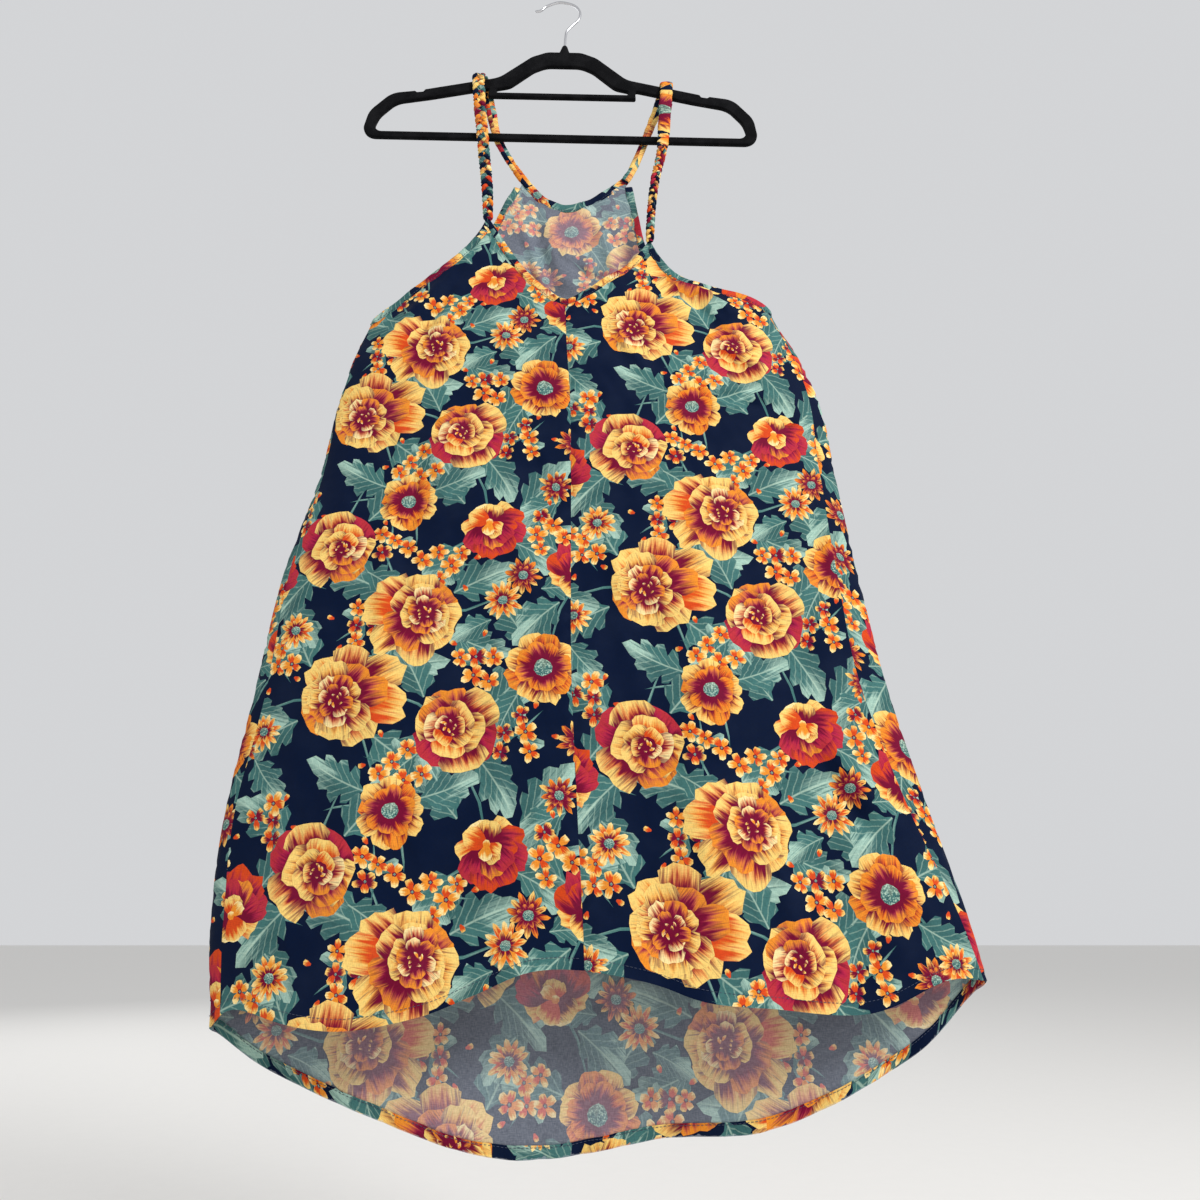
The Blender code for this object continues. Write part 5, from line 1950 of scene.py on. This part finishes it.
class SundressStage(bpy.types.PropertyGroup):
    """The floor, the light and the camera"""

    floor: dye("Floor", "Pale floor", 232, 230, 226)
    floor_level: length("Floor level", "Height of the floor", -1.42)
    key: number("Key light", "Strength of the main light", 62.0, min=0)
    fill: number("Fill light", "Strength of the second light", 2.5, min=0)
    back: number("Back light", "Strength of the light behind", 34.0, min=0)
    lens: number("Lens", "Focal length of the camera in mm", 27.03, min=10)


def sizes():
    return bpy.context.scene.sundress_sizes


def colours():
    return bpy.context.scene.sundress_colours


def stage_settings():
    return bpy.context.scene.sundress_stage


# --- Operators -------------------------------------------------------------------------------

FLOOR_HALF = 14.0
FLOOR_STEPS = 8
STUDIO_COLOUR = (0.86, 0.87, 0.89, 1)
STUDIO_STRENGTH = 0.76
CAMERA_PLACE = (0.04823, -0.784, -1.04064)
CAMERA_TILT = 109.5
# Each lamp's size, place and target in metres.
LAMPS = (
    ("key", 0.9, (1.7, -1.7, 0.8), (0.0, 0.0, -0.6)),
    ("fill", 2.4, (-1.6, -2.2, -0.1), (0.0, 0.0, -0.7)),
    ("back", 3.0, (-1.8, 2.6, 1.2), (0.0, 0.0, -0.6))
)

PRINTS = {}
PANELS = {}
EDGES = {}


def print_repeat():
    """The shapes of one repeat, drawn once."""
    if not PRINTS:
        PRINTS["repeat"] = Drawing(PRINT_SEED).draw_repeat()
    return PRINTS["repeat"]


class SUNDRESS_OT_stage(bpy.types.Operator):
    """Sets the floor, the light and the camera"""

    bl_idname = "sundress.stage"
    bl_label = "Stage"

    def execute(self, context):
        scene = context.scene
        mesh = bpy.data.meshes.new("floor")
        spots = np.linspace(-FLOOR_HALF, FLOOR_HALF, FLOOR_STEPS + 1)
        level = stage_settings().floor_level
        vertices = [(x, y, level) for y in spots for x in spots]
        row = FLOOR_STEPS + 1
        starts = [y * row + x for y in range(FLOOR_STEPS) for x in range(FLOOR_STEPS)]
        faces = [(start, start + 1, start + row + 1, start + row) for start in starts]
        mesh.from_pydata(vertices, [], faces)
        mesh.materials.append(finish("pale_floor"))
        linked("floor", mesh)
        world = bpy.data.worlds.new("studio")
        world.use_nodes = True
        background = world.node_tree.nodes["Background"]
        background.inputs["Color"].default_value = STUDIO_COLOUR
        background.inputs["Strength"].default_value = STUDIO_STRENGTH
        scene.world = world
        scene.view_settings.view_transform = "Standard"
        for name, size, place, target in LAMPS:
            lamp = bpy.data.lights.new(name, "AREA")
            lamp.shape = "DISK"
            lamp.size = size
            lamp.energy = getattr(stage_settings(), name)
            light = linked(name, lamp)
            light.location = place
            aim = Vector(target) - Vector(place)
            light.rotation_euler = aim.to_track_quat("-Z", "Y").to_euler()
        lens = bpy.data.cameras.new("camera")
        lens.lens = stage_settings().lens
        lens.sensor_width = 36.0
        camera = linked("camera", lens)
        camera.location = CAMERA_PLACE
        camera.rotation_euler = (math.radians(CAMERA_TILT), 0, 0)
        scene.camera = camera
        return {"FINISHED"}


class SUNDRESS_OT_panels(bpy.types.Operator):
    """Cuts, prints and hangs the two front panels and the back, with their hems"""

    bl_idname = "sundress.panels"
    bl_label = "Panels and hems"

    def execute(self, context):
        repeat = print_repeat()
        for name, face, sides, offset, held_by in (
            ("front_left", "front", (-1,), (-250, -640), ["strap_braid_left"]),
            ("front_right", "front", (1,), (20, -540), ["strap_braid_right"]),
            ("back", "back", (-1, 1), (60, -420), ["strap_tube_left", "strap_tube_right"])
        ):
            PANELS[name] = build_panel(name, face, sides, offset, repeat, held_by)
        return {"FINISHED"}


class SUNDRESS_OT_bindings(bpy.types.Operator):
    """Binds the neck and armholes, and bands the back neck"""

    bl_idname = "sundress.bindings"
    bl_label = "Bindings"

    def execute(self, context):
        left = mitre_slope(NECK_EDGE, ARMHOLE_LEFT, False)
        right = mitre_slope(NECK_EDGE, ARMHOLE_RIGHT, True)
        for name, rows, inward, width, mitres, offset, angle in (
            ("neck_binding", NECK_EDGE, -1, BINDING_WIDTH, (left, right), (30, 40), 38),
            ("back_neck_band", BACK_NECK_EDGE, 1, NECK_BAND_WIDTH, (0, 0), (90, 160), 12),
            ("armhole_binding_left", ARMHOLE_LEFT, 1, BINDING_WIDTH, (left, 0), (10, 200), 41),
            ("armhole_binding_right", ARMHOLE_RIGHT, -1, BINDING_WIDTH, (right, 0), (70, 90), 49)
        ):
            EDGES[name] = Binding(rows, inward, width, *mitres)
            EDGES[name].build(name, print_repeat(), offset, angle)
        return {"FINISHED"}


class SUNDRESS_OT_straps(bpy.types.Operator):
    """Braids the front straps and hangs the plain tubes behind"""

    bl_idname = "sundress.straps"
    bl_label = "Straps"

    def execute(self, context):
        build_straps(print_repeat())
        return {"FINISHED"}


class SUNDRESS_OT_stitches(bpy.types.Operator):
    """Sews the bindings and the hems"""

    bl_idname = "sundress.stitches"
    bl_label = "Stitches"

    def execute(self, context):
        lines = []
        for edge in EDGES.values():
            lines += [edge.stitch_line(True), edge.stitch_line(False)]
        build_stitches("binding_stitches", lines)
        lines = []
        for panel in PANELS.values():
            points, normals = panel.place(panel.stitch_line())
            lines.append((points + normals * 0.05, normals))
            inner = points - normals * (sizes().cloth / MM + 1.0)
            lines.append((inner, -normals))
        build_stitches("hem_stitches", lines)
        return {"FINISHED"}


class SUNDRESS_OT_hanger(bpy.types.Operator):
    """Moulds and flocks the hanger, and bends its hook"""

    bl_idname = "sundress.hanger"
    bl_label = "Hanger"

    def execute(self, context):
        build_hanger()
        build_hook()
        return {"FINISHED"}


class SUNDRESS_PT_panel(bpy.types.Panel):
    """Lists the settings and the steps that build the pieces"""

    bl_idname = "SUNDRESS_PT_panel"
    bl_label = "Sundress"
    bl_space_type = "VIEW_3D"
    bl_region_type = "UI"
    bl_category = "Sundress"

    def draw(self, context):
        for group in ("sundress_sizes", "sundress_colours", "sundress_stage"):
            settings = getattr(context.scene, group)
            box = self.layout.box()
            for name in settings.__annotations__:
                box.prop(settings, name)
        for operator in OPERATORS:
            self.layout.operator(operator.bl_idname)


OPERATORS = (
    SUNDRESS_OT_stage, SUNDRESS_OT_panels, SUNDRESS_OT_bindings, SUNDRESS_OT_straps,
    SUNDRESS_OT_stitches, SUNDRESS_OT_hanger
)
GROUPS = {
    "sundress_sizes": SundressSizes, "sundress_colours": SundressColours,
    "sundress_stage": SundressStage
}


def register():
    for name, group in GROUPS.items():
        bpy.utils.register_class(group)
        setattr(bpy.types.Scene, name, bpy.props.PointerProperty(type=group))
    for made in (*OPERATORS, SUNDRESS_PT_panel):
        bpy.utils.register_class(made)


def unregister():
    for made in (SUNDRESS_PT_panel, *reversed(OPERATORS)):
        bpy.utils.unregister_class(made)
    for name, group in GROUPS.items():
        delattr(bpy.types.Scene, name)
        bpy.utils.unregister_class(group)


def main():
    register()
    bpy.ops.sundress.stage()
    bpy.ops.sundress.panels()
    bpy.ops.sundress.bindings()
    bpy.ops.sundress.straps()
    bpy.ops.sundress.stitches()
    bpy.ops.sundress.hanger()


if __name__ == "__main__":
    main()
